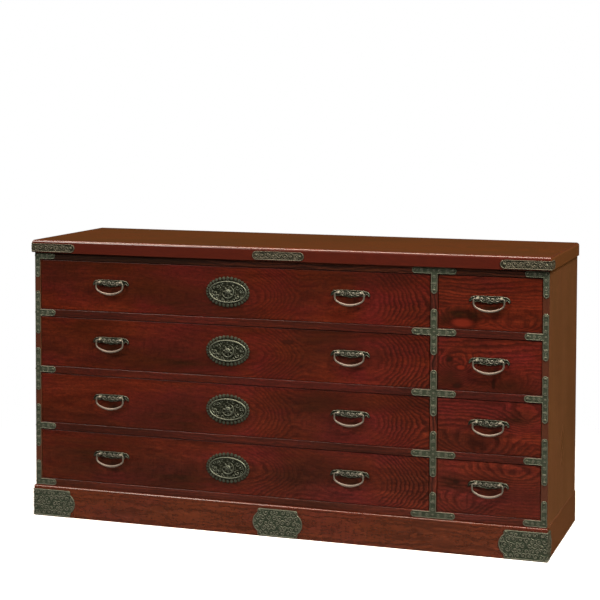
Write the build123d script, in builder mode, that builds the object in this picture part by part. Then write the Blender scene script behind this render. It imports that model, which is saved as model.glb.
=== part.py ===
from build123d import *
import math
import os

# Isho clothing chest: a low, wide chest of four tiers, each with one long and one short drawer.
# All sizes are in millimetres. X runs to the right, Y to the back, Z up. The origin is on the
# floor, in the middle of the chest's overall width and depth, handles included.

# ---------------------------------------------------------------- driving dimensions: case
TOP_WIDTH = 1500.0
TOP_DEPTH = 450.0
CHEST_HEIGHT = 800.0
TOP_THICKNESS = 36.0
TOP_EDGE_RADIUS = 8.0
TOP_SIDE_OVERHANG = 5.0
TOP_FRONT_OVERHANG = 8.0

TIERS = 4
SIDE_THICKNESS = 18.0
DIVIDER_THICKNESS = 20.0
SHORT_OPENING_WIDTH = 280.0
RAIL_HEIGHT = 20.0
RAIL_DEPTH = 26.0
SHELF_THICKNESS = 9.0
BACK_THICKNESS = 6.0
BACK_REBATE = 9.0
HOUSING_DEPTH = 5.0
TENON_LENGTH = 8.0
TENON_SHOULDER = 5.0
FRAME_EDGE_RADIUS = 1.0

PLINTH_HEIGHT = 88.0
PLINTH_THICKNESS = 24.0
PLINTH_FRONT_PROUD = 9.0
PLINTH_SIDE_PROUD = 2.0
PLINTH_EDGE_RADIUS = 4.0
BEARER_THICKNESS = 24.0

# ---------------------------------------------------------------- driving dimensions: drawers
DRAWER_SETBACK = 1.5
FRONT_SIDE_GAP = 1.25
FRONT_LOWER_GAP = 1.0
FRONT_UPPER_GAP = 1.5
FRONT_THICKNESS = 20.0
FRONT_EDGE_RADIUS = 1.5
FRONT_LAP = 10.0
BOX_RUNNING_GAP = 0.3
BOX_STOP_GAP = 0.5
BOX_WALL = 12.0
BOX_HEIGHT = 130.0
BOX_BACK_DROP = 8.0
BOX_BOTTOM_THICKNESS = 6.0
BOX_BOTTOM_RISE = 7.0
BOX_GROOVE = 5.0

# ---------------------------------------------------------------- driving dimensions: handles
LONG_HANDLE_SPACING = 710.0
HANDLE_RISE = 13.0
HANDLE_PLATE_WIDTH = 110.0
HANDLE_PLATE_TOP_WIDTH = 80.0
HANDLE_PLATE_RISE = 7.0
HANDLE_PLATE_TIP_DROP = 6.0
HANDLE_PLATE_DROP = 13.0
HANDLE_PLATE_THICKNESS = 1.5
POST_SPACING = 64.0
POST_COLLAR_RADIUS = 6.0
POST_COLLAR_THICKNESS = 1.2
POST_NECK_RADIUS = 2.6
EYE_REACH = 11.0
EYE_HEAD_RADIUS = 4.2
STEM_RADIUS = 2.0
STEM_CLEARANCE = 0.1
NUT_RADIUS = 5.0
NUT_THICKNESS = 3.0
STEM_END = 1.5
PIN_RADIUS = 1.5
PIN_CLEARANCE = 0.08
PIN_END = 1.5
BAIL_RADIUS = 2.7
BAIL_HALF_WIDTH = 41.0
BAIL_DROP = 33.0
BAIL_SHOULDER = 12.0
BAIL_CORNER_RADIUS = 13.0
BAIL_EYE_GAP = 0.6

# ---------------------------------------------------------------- driving dimensions: ironwork
NAIL_HEAD_RADIUS = 3.2
NAIL_HEAD_HEIGHT = 1.2
NAIL_SHANK_RADIUS = 0.9
NAIL_LENGTH = 12.0
NAIL_CLEARANCE = 0.05

BRACKET_THICKNESS = 1.5
BRACKET_MARGIN = 1.0
BRACKET_UPRIGHT_REACH = 62.0
BRACKET_SIDE_REACH = 56.0
BRACKET_DIVIDER_REACH = 61.0

STRAP_HEIGHT = 24.0
STRAP_RISE = 2.0
STRAP_THICKNESS = 2.0
STRAP_FRONT_REACH = 137.0
STRAP_SIDE_REACH = 52.0
CENTRE_STRAP_LENGTH = 150.0

PLATE_LIFT = 1.0
PLATE_HEIGHT = 77.0
PLATE_THICKNESS = 2.0
PLATE_CORNER_RADIUS = 7.0
PLATE_BULGE = 14.0
PLATE_BULGE_HEIGHT = 52.0
PLATE_FRONT_REACH = 132.0
PLATE_SIDE_REACH = 56.0
CENTRE_PLATE_WIDTH = 145.0

MEDALLION_WIDTH = 130.0
MEDALLION_HEIGHT = 87.0
MEDALLION_THICKNESS = 1.5
SCALLOPS = 32
SCALLOP_RADIUS = 5.0
MEDALLION_RING_WIDTH = 113.0
MEDALLION_RING_HEIGHT = 62.0
MEDALLION_RING_BAR = 4.0
MEDALLION_RING_PROUD = 2.5
BOSS_RING_RADIUS = 19.0
BOSS_RING_BAR = 3.0
BOSS_RADIUS = 11.0
BOSS_PROUD = 5.0
MEDALLION_NAIL_SPACING = 92.0

# ---------------------------------------------------------------- places worked out from them
CARCASS_WIDTH = TOP_WIDTH - 2 * TOP_SIDE_OVERHANG
CARCASS_DEPTH = TOP_DEPTH - TOP_FRONT_OVERHANG
HALF_WIDTH = CARCASS_WIDTH / 2
INNER_X = HALF_WIDTH - SIDE_THICKNESS
UNDER_TOP_Z = CHEST_HEIGHT - TOP_THICKNESS
OPENING_HEIGHT = (UNDER_TOP_Z - PLINTH_HEIGHT - (TIERS + 1) * RAIL_HEIGHT) / TIERS

POST_REACH = EYE_REACH + HANDLE_PLATE_THICKNESS - DRAWER_SETBACK
HANDLE_REACH = POST_REACH + max(BAIL_RADIUS, EYE_HEAD_RADIUS)
PLINTH_REACH = PLINTH_FRONT_PROUD + PLATE_THICKNESS + NAIL_HEAD_HEIGHT
STRAP_REACH = TOP_FRONT_OVERHANG + STRAP_THICKNESS + NAIL_HEAD_HEIGHT
FRONT_REACH = max(HANDLE_REACH, PLINTH_REACH, STRAP_REACH)
FRONT_Y = (FRONT_REACH - CARCASS_DEPTH) / 2
BACK_Y = FRONT_Y + CARCASS_DEPTH
BACK_FACE_Y = BACK_Y - BACK_THICKNESS
RAIL_BACK_Y = FRONT_Y + RAIL_DEPTH
TOP_FRONT_Y = FRONT_Y - TOP_FRONT_OVERHANG
PLINTH_FRONT_Y = FRONT_Y - PLINTH_FRONT_PROUD
PLINTH_BACK_OF_FRONT_Y = PLINTH_FRONT_Y + PLINTH_THICKNESS
PLINTH_HALF_WIDTH = HALF_WIDTH + PLINTH_SIDE_PROUD
PLINTH_INNER_X = PLINTH_HALF_WIDTH - PLINTH_THICKNESS

DIVIDER_RIGHT_X = INNER_X - SHORT_OPENING_WIDTH
DIVIDER_LEFT_X = DIVIDER_RIGHT_X - DIVIDER_THICKNESS
DIVIDER_X = (DIVIDER_LEFT_X + DIVIDER_RIGHT_X) / 2
LONG_OPENING_WIDTH = DIVIDER_LEFT_X + INNER_X
LONG_CENTRE_X = (DIVIDER_LEFT_X - INNER_X) / 2
SHORT_CENTRE_X = (DIVIDER_RIGHT_X + INNER_X) / 2

DRAWER_FACE_Y = FRONT_Y + DRAWER_SETBACK
DRAWER_INSIDE_Y = DRAWER_FACE_Y + FRONT_THICKNESS
BOX_FRONT_Y = DRAWER_INSIDE_Y - FRONT_LAP
BOX_BACK_Y = BACK_FACE_Y - BOX_STOP_GAP
HANDLE_PLATE_Y = DRAWER_FACE_Y - HANDLE_PLATE_THICKNESS
EYE_Y = HANDLE_PLATE_Y - EYE_REACH

LONG_HANDLES_X = (LONG_CENTRE_X - LONG_HANDLE_SPACING / 2, LONG_CENTRE_X + LONG_HANDLE_SPACING / 2)
BOTH_SIDES = (-1, 1)  # left, right


def rail_floor(level):
    """Underside of a rail. Level 0 is the bottom rail, level TIERS the top rail."""
    return PLINTH_HEIGHT + level * (OPENING_HEIGHT + RAIL_HEIGHT)


def rail_centre(level):
    return rail_floor(level) + RAIL_HEIGHT / 2


def opening_floor(tier):
    """What a drawer of this tier slides on. Tier 1 is the top one."""
    return rail_floor(TIERS - tier) + RAIL_HEIGHT


def drawer_centre(tier):
    return opening_floor(tier) + OPENING_HEIGHT / 2


def pivot_z(tier):
    """Height of the axis that the bails of this tier hang on."""
    return drawer_centre(tier) + HANDLE_RISE


def span(one, other):
    return (min(one, other), max(one, other))


def front_plane(x, y, z):
    """A sketch plane that faces the front, with its own x to the right and its own y up."""
    return Plane(origin=(x, y, z), x_dir=(1, 0, 0), z_dir=(0, -1, 0))


def side_plane(side, x, y, z):
    """A sketch plane on a side of the chest that faces away from it, with its own y up."""
    return Plane(origin=(x, y, z), x_dir=(0, side, 0), z_dir=(side, 0, 0))


def slab(x_span, y_span, z_span, mode=Mode.ADD):
    """Add or cut the box that fills three spans, in the part that is being built."""
    low = (x_span[0], y_span[0], z_span[0])
    size = (x_span[1] - x_span[0], y_span[1] - y_span[0], z_span[1] - z_span[0])
    with Locations(low):
        Box(*size, align=(Align.MIN, Align.MIN, Align.MIN), mode=mode)


def save(label, *pieces):
    """Write one node: a single piece, or a group of separate pieces under one name."""
    if len(pieces) == 1:
        node = pieces[0]
    else:
        node = Compound(children=list(pieces))
    node.label = label
    export_step(node, f"parts/{label}.step")


# ---------------------------------------------------------------- case
def top_board():
    """Thick top, rounded along its upper edges at the front and both ends."""
    half = TOP_WIDTH / 2
    with BuildPart() as board:
        slab((-half, half), (TOP_FRONT_Y, BACK_Y), (UNDER_TOP_Z, CHEST_HEIGHT))
        upper = board.edges().group_by(Axis.Z)[-1]
        fillet(upper.sort_by(Axis.Y)[:-1], radius=TOP_EDGE_RADIUS)
    return board.part


def tenon_spans(level):
    floor = rail_floor(level)
    y_span = (FRONT_Y + TENON_SHOULDER, RAIL_BACK_Y - TENON_SHOULDER)
    z_span = (floor + TENON_SHOULDER, floor + RAIL_HEIGHT - TENON_SHOULDER)
    return y_span, z_span


def rail(x_span, level):
    """Cross rail with a stub tenon at each end and softened front edges."""
    floor = rail_floor(level)
    with BuildPart() as piece:
        slab(x_span, (FRONT_Y, RAIL_BACK_Y), (floor, floor + RAIL_HEIGHT))
        front = piece.edges().filter_by(Axis.X).group_by(Axis.Y)[0]
        fillet(front, radius=FRAME_EDGE_RADIUS)
        tenons = (x_span[0] - TENON_LENGTH, x_span[1] + TENON_LENGTH)
        slab(tenons, *tenon_spans(level))
    return piece.part


def shelf_span(level):
    """Height of a shelf board, whose top is level with its rail."""
    surface = rail_floor(level) + RAIL_HEIGHT
    return (surface - SHELF_THICKNESS, surface)


def side_panel(side):
    """Upright end of the case, housed for the shelves and rebated for the back."""
    housing = span(side * INNER_X, side * (INNER_X + HOUSING_DEPTH))
    mortise = span(side * INNER_X, side * (INNER_X + TENON_LENGTH))
    rebate = span(side * INNER_X, side * (INNER_X + BACK_REBATE))
    board_depth = (RAIL_BACK_Y, BACK_FACE_Y)
    bottom = (rail_floor(0), rail_floor(0) + RAIL_HEIGHT)
    upright = (PLINTH_HEIGHT, UNDER_TOP_Z)
    with BuildPart() as panel:
        slab(span(side * INNER_X, side * HALF_WIDTH), (FRONT_Y, BACK_Y), upright)
        fillet(panel.edges().filter_by(Axis.Z).group_by(Axis.Y)[0], radius=FRAME_EDGE_RADIUS)
        slab(rebate, (BACK_FACE_Y, BACK_Y), upright, Mode.SUBTRACT)
        slab(housing, board_depth, bottom, Mode.SUBTRACT)
        for level in range(1, TIERS):
            slab(housing, board_depth, shelf_span(level), Mode.SUBTRACT)
        for level in range(TIERS + 1):
            slab(mortise, *tenon_spans(level), Mode.SUBTRACT)
    return panel.part


def centre_divider():
    """Full-depth upright between the drawers, notched at the top round the top rail."""
    foot = rail_floor(0) + RAIL_HEIGHT - HOUSING_DEPTH
    sides = (
        (DIVIDER_LEFT_X, DIVIDER_LEFT_X + HOUSING_DEPTH, DIVIDER_LEFT_X + TENON_LENGTH),
        (DIVIDER_RIGHT_X, DIVIDER_RIGHT_X - HOUSING_DEPTH, DIVIDER_RIGHT_X - TENON_LENGTH),
    )
    thickness = (DIVIDER_LEFT_X, DIVIDER_RIGHT_X)
    with BuildPart() as panel:
        slab(thickness, (FRONT_Y, BACK_FACE_Y), (foot, UNDER_TOP_Z))
        fillet(panel.edges().filter_by(Axis.Z).group_by(Axis.Y)[0], radius=FRAME_EDGE_RADIUS)
        slab(thickness, (FRONT_Y, RAIL_BACK_Y), (rail_floor(TIERS), UNDER_TOP_Z), Mode.SUBTRACT)
        for face, housing, mortise in sides:
            for level in range(1, TIERS):
                slab(span(face, housing), (RAIL_BACK_Y, BACK_FACE_Y), shelf_span(level), Mode.SUBTRACT)
                slab(span(face, mortise), *tenon_spans(level), Mode.SUBTRACT)
    return panel.part


def divider_foot_cut():
    """Housing for the foot of the divider, cut in the bottom rail and the bottom board."""
    surface = rail_floor(0) + RAIL_HEIGHT
    slab(
        (DIVIDER_LEFT_X, DIVIDER_RIGHT_X),
        (FRONT_Y, BACK_FACE_Y),
        (surface - HOUSING_DEPTH, surface),
        Mode.SUBTRACT,
    )


def bottom_rail():
    with BuildPart() as piece:
        add(rail((-INNER_X, INNER_X), 0))
        divider_foot_cut()
    return piece.part


def bottom_board():
    """Floor of the case, as thick as the rails are high, housed in both side panels."""
    half = INNER_X + HOUSING_DEPTH
    with BuildPart() as board:
        slab((-half, half), (RAIL_BACK_Y, BACK_FACE_Y), (PLINTH_HEIGHT, PLINTH_HEIGHT + RAIL_HEIGHT))
        divider_foot_cut()
    return board.part


def shelf_board(x_span, level):
    with BuildPart() as board:
        slab(x_span, (RAIL_BACK_Y, BACK_FACE_Y), shelf_span(level))
    return board.part


def back_panel():
    half = INNER_X + BACK_REBATE
    with BuildPart() as panel:
        slab((-half, half), (BACK_FACE_Y, BACK_Y), (PLINTH_HEIGHT, UNDER_TOP_Z))
    return panel.part


# ---------------------------------------------------------------- plinth
def plinth_front_board():
    """Face of the plinth, rounded along its upper edge at the front and both ends."""
    with BuildPart() as board:
        half = PLINTH_HALF_WIDTH
        slab((-half, half), (PLINTH_FRONT_Y, PLINTH_BACK_OF_FRONT_Y), (0, PLINTH_HEIGHT))
        upper = board.edges().group_by(Axis.Z)[-1]
        fillet(upper.sort_by(Axis.Y)[0], radius=PLINTH_EDGE_RADIUS)
        ends = board.edges().filter_by(Axis.Y).group_by(Axis.Z)[-1]
        fillet(ends, radius=PLINTH_SIDE_PROUD)
    return board.part


def plinth_side_board(side):
    x_span = span(side * PLINTH_INNER_X, side * PLINTH_HALF_WIDTH)
    with BuildPart() as board:
        slab(x_span, (PLINTH_BACK_OF_FRONT_Y, BACK_Y), (0, PLINTH_HEIGHT))
        upper = board.edges().filter_by(Axis.Y).group_by(Axis.Z)[-1]
        outer = upper.sort_by(Axis.X)[-1] if side > 0 else upper.sort_by(Axis.X)[0]
        fillet(outer, radius=PLINTH_SIDE_PROUD)
    return board.part


def plinth_back_board():
    with BuildPart() as board:
        x_span = (-PLINTH_INNER_X, PLINTH_INNER_X)
        slab(x_span, (BACK_Y - PLINTH_THICKNESS, BACK_Y), (0, PLINTH_HEIGHT))
    return board.part


def plinth_bearer(x):
    """Cross board below the bottom board, between the plinth's front and back."""
    half = BEARER_THICKNESS / 2
    with BuildPart() as board:
        y_span = (PLINTH_BACK_OF_FRONT_Y, BACK_Y - PLINTH_THICKNESS)
        slab((x - half, x + half), y_span, (0, PLINTH_HEIGHT))
    return board.part


# ---------------------------------------------------------------- drawers
def drawer_front_span(tier):
    floor = opening_floor(tier)
    return (floor + FRONT_LOWER_GAP, floor + OPENING_HEIGHT - FRONT_UPPER_GAP)


def box_span(tier):
    floor = opening_floor(tier) + BOX_RUNNING_GAP
    return (floor, floor + BOX_HEIGHT)


def bottom_span(tier):
    floor = box_span(tier)[0] + BOX_BOTTOM_RISE
    return (floor, floor + BOX_BOTTOM_THICKNESS)


def post_places(handles_x):
    """The x of every post, for handles centred at the given places."""
    return [x + side * POST_SPACING / 2 for x in handles_x for side in BOTH_SIDES]


def drawer_front(centre_x, opening_width, tier, handles_x):
    """Thick front, lapped over the ends of the box sides and bored for the handle stems."""
    half = opening_width / 2 - FRONT_SIDE_GAP
    low, high = drawer_front_span(tier)
    lap_span = (low, box_span(tier)[1])
    with BuildPart() as board:
        slab((centre_x - half, centre_x + half), (DRAWER_FACE_Y, DRAWER_INSIDE_Y), (low, high))
        fillet(board.edges().group_by(Axis.Y)[0], radius=FRONT_EDGE_RADIUS)
        for side in BOTH_SIDES:
            lap = span(centre_x + side * half, centre_x + side * (half - BOX_WALL))
            slab(lap, (BOX_FRONT_Y, DRAWER_INSIDE_Y), lap_span, Mode.SUBTRACT)
        inner = half - BOX_WALL
        groove = (DRAWER_INSIDE_Y - BOX_GROOVE, DRAWER_INSIDE_Y)
        slab((centre_x - inner, centre_x + inner), groove, bottom_span(tier), Mode.SUBTRACT)
        for x in post_places(handles_x):
            with BuildSketch(front_plane(x, DRAWER_INSIDE_Y, pivot_z(tier))):
                Circle(STEM_RADIUS + STEM_CLEARANCE)
            extrude(amount=FRONT_THICKNESS, mode=Mode.SUBTRACT)
    return board.part


def box_side(centre_x, opening_width, tier, side):
    half = opening_width / 2 - FRONT_SIDE_GAP
    inner = half - BOX_WALL
    with BuildPart() as board:
        x_span = span(centre_x + side * inner, centre_x + side * half)
        slab(x_span, (BOX_FRONT_Y, BOX_BACK_Y), box_span(tier))
        groove = span(centre_x + side * inner, centre_x + side * (inner + BOX_GROOVE))
        slab(groove, (BOX_FRONT_Y, BOX_BACK_Y), bottom_span(tier), Mode.SUBTRACT)
    return board.part


def box_back(centre_x, opening_width, tier):
    """Back of the box, standing on the bottom between the sides and a little lower than they are."""
    inner = opening_width / 2 - FRONT_SIDE_GAP - BOX_WALL
    z_span = (bottom_span(tier)[1], box_span(tier)[1] - BOX_BACK_DROP)
    with BuildPart() as board:
        slab((centre_x - inner, centre_x + inner), (BOX_BACK_Y - BOX_WALL, BOX_BACK_Y), z_span)
    return board.part


def box_bottom(centre_x, opening_width, tier):
    """Thin bottom in the grooves of the sides and of the front."""
    inner = opening_width / 2 - FRONT_SIDE_GAP - BOX_WALL
    deep = inner + BOX_GROOVE
    with BuildPart() as board:
        y_span = (DRAWER_INSIDE_Y, BOX_BACK_Y)
        slab((centre_x - deep, centre_x + deep), y_span, bottom_span(tier))
        tongue = (DRAWER_INSIDE_Y - BOX_GROOVE, DRAWER_INSIDE_Y)
        slab((centre_x - inner, centre_x + inner), tongue, bottom_span(tier))
    return board.part


# ---------------------------------------------------------------- handles
def handle_plate(x, tier):
    """Flat back plate with a straight upper edge and a pointed tip at each end."""
    half = HANDLE_PLATE_WIDTH / 2
    top_half = HANDLE_PLATE_TOP_WIDTH / 2
    waist = HANDLE_PLATE_DROP - BAIL_RADIUS
    with BuildPart() as plate:
        with BuildSketch(front_plane(x, DRAWER_FACE_Y, pivot_z(tier))):
            with BuildLine():
                Polyline(
                    (-top_half, -waist),
                    (-half, -HANDLE_PLATE_TIP_DROP),
                    (-top_half, HANDLE_PLATE_RISE),
                    (top_half, HANDLE_PLATE_RISE),
                    (half, -HANDLE_PLATE_TIP_DROP),
                    (top_half, -waist),
                )
                ThreePointArc((top_half, -waist), (0, -HANDLE_PLATE_DROP), (-top_half, -waist))
            make_face()
            for post_x in post_places([0]):
                with Locations((post_x, 0)):
                    Circle(STEM_RADIUS + STEM_CLEARANCE, mode=Mode.SUBTRACT)
        extrude(amount=HANDLE_PLATE_THICKNESS)
    return plate.part


def handle_post(x, tier):
    """Turned post: a stem through the front, a collar on the plate, a neck and a bored round head."""
    stem_length = HANDLE_PLATE_THICKNESS + FRONT_THICKNESS + NUT_THICKNESS + STEM_END
    plate_face = front_plane(x, HANDLE_PLATE_Y, pivot_z(tier))
    with BuildPart() as post:
        with BuildSketch(plate_face):
            Circle(STEM_RADIUS)
        extrude(amount=-stem_length)
        with BuildSketch(plate_face):
            Circle(POST_COLLAR_RADIUS)
        extrude(amount=POST_COLLAR_THICKNESS)
        with BuildSketch(plate_face):
            Circle(POST_NECK_RADIUS)
        extrude(amount=EYE_REACH)
        with Locations(front_plane(x, EYE_Y, pivot_z(tier)).location):
            Sphere(EYE_HEAD_RADIUS)
        with Locations((x, EYE_Y, pivot_z(tier))):
            Cylinder(
                PIN_RADIUS + PIN_CLEARANCE,
                4 * EYE_HEAD_RADIUS,
                rotation=(0, 90, 0),
                mode=Mode.SUBTRACT,
            )
    return post.part


def stem_nut(x, tier):
    """Round nut on the end of a stem, against the inside of the drawer front."""
    with BuildPart() as nut:
        with BuildSketch(front_plane(x, DRAWER_INSIDE_Y + NUT_THICKNESS, pivot_z(tier))):
            Circle(NUT_RADIUS)
            Circle(STEM_RADIUS + STEM_CLEARANCE / 2, mode=Mode.SUBTRACT)
        extrude(amount=NUT_THICKNESS)
    return nut.part


def handle_fittings(handles_x, tier):
    plates = [handle_plate(x, tier) for x in handles_x]
    posts = [handle_post(x, tier) for x in post_places(handles_x)]
    nuts = [stem_nut(x, tier) for x in post_places(handles_x)]
    return plates + posts + nuts


def bail(x, tier):
    """Bail of round bar: two pins in the eyes, short bends, straight shoulders and a shallow bow.

    The bow is one large arc that runs smoothly into the two corner arcs. Its radius follows from
    the width, the drop and the corner radius.
    """
    bend_x = POST_SPACING / 2 + EYE_HEAD_RADIUS + BAIL_EYE_GAP
    bend_radius = BAIL_HALF_WIDTH - bend_x
    across = BAIL_HALF_WIDTH - BAIL_CORNER_RADIUS
    depth = BAIL_DROP - BAIL_SHOULDER
    bow_radius = (across**2 + depth**2 - BAIL_CORNER_RADIUS**2) / (2 * (depth - BAIL_CORNER_RADIUS))
    corner_turn = math.degrees(math.atan2(bow_radius - depth, across))
    bow_turn = 180 - 2 * corner_turn
    pin_length = bend_x - POST_SPACING / 2 + EYE_HEAD_RADIUS + PIN_END
    pin_centre = bend_x - pin_length / 2
    with BuildPart() as bar:
        with BuildLine(front_plane(x, EYE_Y, pivot_z(tier))) as line:
            left_bend = JernArc((-bend_x, 0), (-1, 0), bend_radius, 90)
            left_side = Line(left_bend @ 1, (-BAIL_HALF_WIDTH, -BAIL_SHOULDER))
            left_corner = JernArc(left_side @ 1, (0, -1), BAIL_CORNER_RADIUS, corner_turn)
            bow_start = (-math.sin(math.radians(corner_turn)), -math.cos(math.radians(corner_turn)))
            tangent = (-bow_start[0], bow_start[1])
            bow = JernArc(left_corner @ 1, tangent, bow_radius, bow_turn)
            tangent = (-bow_start[0], -bow_start[1])
            right_corner = JernArc(bow @ 1, tangent, BAIL_CORNER_RADIUS, corner_turn)
            right_side = Line(right_corner @ 1, (BAIL_HALF_WIDTH, -bend_radius))
            JernArc(right_side @ 1, (0, 1), bend_radius, 90)
        with BuildSketch(Plane(origin=(x - bend_x, EYE_Y, pivot_z(tier)), z_dir=(-1, 0, 0))):
            Circle(BAIL_RADIUS)
        sweep(path=line.line)
        for side in BOTH_SIDES:
            with Locations((x + side * pin_centre, EYE_Y, pivot_z(tier))):
                Cylinder(PIN_RADIUS, pin_length, rotation=(0, 90, 0))
    return bar.part


# ---------------------------------------------------------------- ironwork
def nail():
    """Nail with a low domed head, pointing down from the origin with its head above."""
    dome_radius = (NAIL_HEAD_RADIUS**2 + NAIL_HEAD_HEIGHT**2) / (2 * NAIL_HEAD_HEIGHT)
    with BuildPart() as piece:
        with BuildSketch(Plane.XZ):
            with BuildLine():
                Polyline(
                    (0, NAIL_HEAD_HEIGHT),
                    (0, -NAIL_LENGTH),
                    (NAIL_SHANK_RADIUS, -NAIL_LENGTH),
                    (NAIL_SHANK_RADIUS, 0),
                    (NAIL_HEAD_RADIUS, 0),
                )
                RadiusArc((NAIL_HEAD_RADIUS, 0), (0, NAIL_HEAD_HEIGHT), -dome_radius)
            make_face()
        revolve(axis=Axis.Z)
    return piece.part


def nails_at(planes):
    with BuildPart() as group:
        with Locations(*[plane.location for plane in planes]):
            add(nail())
    return group.part


def nail_hole(x, y):
    """Nail hole, cut in the sketch that is being drawn."""
    with Locations((x, y)):
        Circle(NAIL_SHANK_RADIUS + NAIL_CLEARANCE, mode=Mode.SUBTRACT)


def bracket_legs(across, inward, level):
    """Tips of a bracket's legs as (x step, z step, reach), seen from its centre."""
    legs = [(direction, 0, across) for direction in inward]
    if level < TIERS:
        legs.append((0, 1, BRACKET_UPRIGHT_REACH))
    if level > 0:
        legs.append((0, -1, BRACKET_UPRIGHT_REACH))
    return legs


def bracket_table():
    """Every bracket as (x, level, upright width, legs): the left side, the divider, the right."""
    side_x = HALF_WIDTH - SIDE_THICKNESS / 2
    side_width = SIDE_THICKNESS - 2 * BRACKET_MARGIN
    divider_width = DIVIDER_THICKNESS - 2 * BRACKET_MARGIN
    table = []
    for level in range(TIERS + 1):
        left_legs = bracket_legs(BRACKET_SIDE_REACH, [1], level)
        both_legs = bracket_legs(BRACKET_DIVIDER_REACH, [-1, 1], level)
        right_legs = bracket_legs(BRACKET_SIDE_REACH, [-1], level)
        table.append((-side_x, level, side_width, left_legs))
        table.append((DIVIDER_X, level, divider_width, both_legs))
        table.append((side_x, level, side_width, right_legs))
    return table


def leg_tip(leg, upright_width):
    """Centre of a leg's round tip, seen from the bracket's centre."""
    step_x, step_z, reach = leg
    width = (RAIL_HEIGHT - 2 * BRACKET_MARGIN) if step_x else upright_width
    return step_x * (reach - width / 2), step_z * (reach - width / 2), width


def bracket(x, level, upright_width, legs):
    """Flat iron over a frame joint: a square middle and round-ended legs, each with a nail hole."""
    rail_width = RAIL_HEIGHT - 2 * BRACKET_MARGIN
    with BuildPart() as piece:
        with BuildSketch(front_plane(x, FRONT_Y, rail_centre(level))):
            Rectangle(upright_width, rail_width)
            for leg in legs:
                tip_x, tip_z, width = leg_tip(leg, upright_width)
                with Locations((tip_x / 2, tip_z / 2)):
                    Rectangle(abs(tip_x) or width, abs(tip_z) or width)
                with Locations((tip_x, tip_z)):
                    Circle(width / 2)
            for leg in legs:
                tip_x, tip_z, _ = leg_tip(leg, upright_width)
                nail_hole(tip_x, tip_z)
        extrude(amount=BRACKET_THICKNESS)
    return piece.part


def bracket_nail_planes(x, level, upright_width, legs):
    planes = []
    for leg in legs:
        tip_x, tip_z, _ = leg_tip(leg, upright_width)
        planes.append(front_plane(x + tip_x, FRONT_Y - BRACKET_THICKNESS, rail_centre(level) + tip_z))
    return planes


def strap_leg(length):
    """Outline of a strap, drawn from its corner at the origin to a round end at +length."""
    radius = STRAP_HEIGHT / 2
    with Locations(((length - radius) / 2, 0)):
        Rectangle(length - radius, STRAP_HEIGHT)
    with Locations((length - radius, 0)):
        Circle(radius)
    nail_hole(length - radius, 0)
    nail_hole(radius + STRAP_THICKNESS, 0)


def top_corner_strap(side):
    """Strap bent round a front corner of the top board."""
    corner_x = side * (TOP_WIDTH / 2 + STRAP_THICKNESS)
    corner_y = TOP_FRONT_Y - STRAP_THICKNESS
    z = UNDER_TOP_Z + STRAP_RISE + STRAP_HEIGHT / 2
    front = Plane(origin=(corner_x, TOP_FRONT_Y, z), x_dir=(-side, 0, 0), z_dir=(0, -1, 0))
    end = Plane(origin=(side * TOP_WIDTH / 2, corner_y, z), x_dir=(0, 1, 0), z_dir=(side, 0, 0))
    with BuildPart() as strap:
        with BuildSketch(front):
            strap_leg(STRAP_FRONT_REACH)
        extrude(amount=STRAP_THICKNESS)
        with BuildSketch(end):
            strap_leg(STRAP_SIDE_REACH)
        extrude(amount=STRAP_THICKNESS)
    return strap.part


def top_centre_strap():
    radius = STRAP_HEIGHT / 2
    z = UNDER_TOP_Z + STRAP_RISE + STRAP_HEIGHT / 2
    with BuildPart() as strap:
        with BuildSketch(front_plane(0, TOP_FRONT_Y, z)):
            SlotOverall(CENTRE_STRAP_LENGTH, STRAP_HEIGHT)
            nail_hole(CENTRE_STRAP_LENGTH / 2 - radius, 0)
            nail_hole(radius - CENTRE_STRAP_LENGTH / 2, 0)
        extrude(amount=STRAP_THICKNESS)
    return strap.part


def strap_nail_planes():
    """Where the nails of all three straps stand, on the faces of the straps."""
    radius = STRAP_HEIGHT / 2
    z = UNDER_TOP_Z + STRAP_RISE + radius
    face_y = TOP_FRONT_Y - STRAP_THICKNESS
    corner_x = TOP_WIDTH / 2 + STRAP_THICKNESS
    planes = []
    for side in BOTH_SIDES:
        planes.append(front_plane(side * (CENTRE_STRAP_LENGTH / 2 - radius), face_y, z))
        planes.append(front_plane(side * (corner_x - STRAP_FRONT_REACH + radius), face_y, z))
        planes.append(front_plane(side * (corner_x - radius - STRAP_THICKNESS), face_y, z))
        planes.append(side_plane(side, side * corner_x, face_y + STRAP_SIDE_REACH - radius, z))
        planes.append(side_plane(side, side * corner_x, face_y + radius + STRAP_THICKNESS, z))
    return planes


def plate_bulge(edge_x, direction):
    """Shallow bow that swells out of a plate's edge, drawn in the plate's sketch."""
    half = PLATE_BULGE_HEIGHT / 2
    with BuildLine() as outline:
        tip = (edge_x + direction * PLATE_BULGE, 0)
        ThreePointArc((edge_x, -half), tip, (edge_x, half))
        Line((edge_x, half), (edge_x, -half))
    make_face(outline.line)


def plate_leg(length):
    """Outline of a plinth plate from its corner at the origin to a bowed edge at +length."""
    flat = length - PLATE_BULGE
    with BuildSketch(mode=Mode.PRIVATE) as body:
        with Locations((flat / 2, 0)):
            Rectangle(flat, PLATE_HEIGHT)
        fillet(body.vertices().group_by(Axis.X)[-1], radius=PLATE_CORNER_RADIUS)
    add(body.sketch)
    plate_bulge(flat, 1)
    for z in plate_nail_heights():
        nail_hole(flat - PLATE_CORNER_RADIUS, z)
    nail_hole(PLATE_THICKNESS + PLATE_BULGE, 0)


def plate_nail_heights():
    reach = PLATE_HEIGHT / 2 - PLATE_CORNER_RADIUS
    return (-reach, reach)


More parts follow.
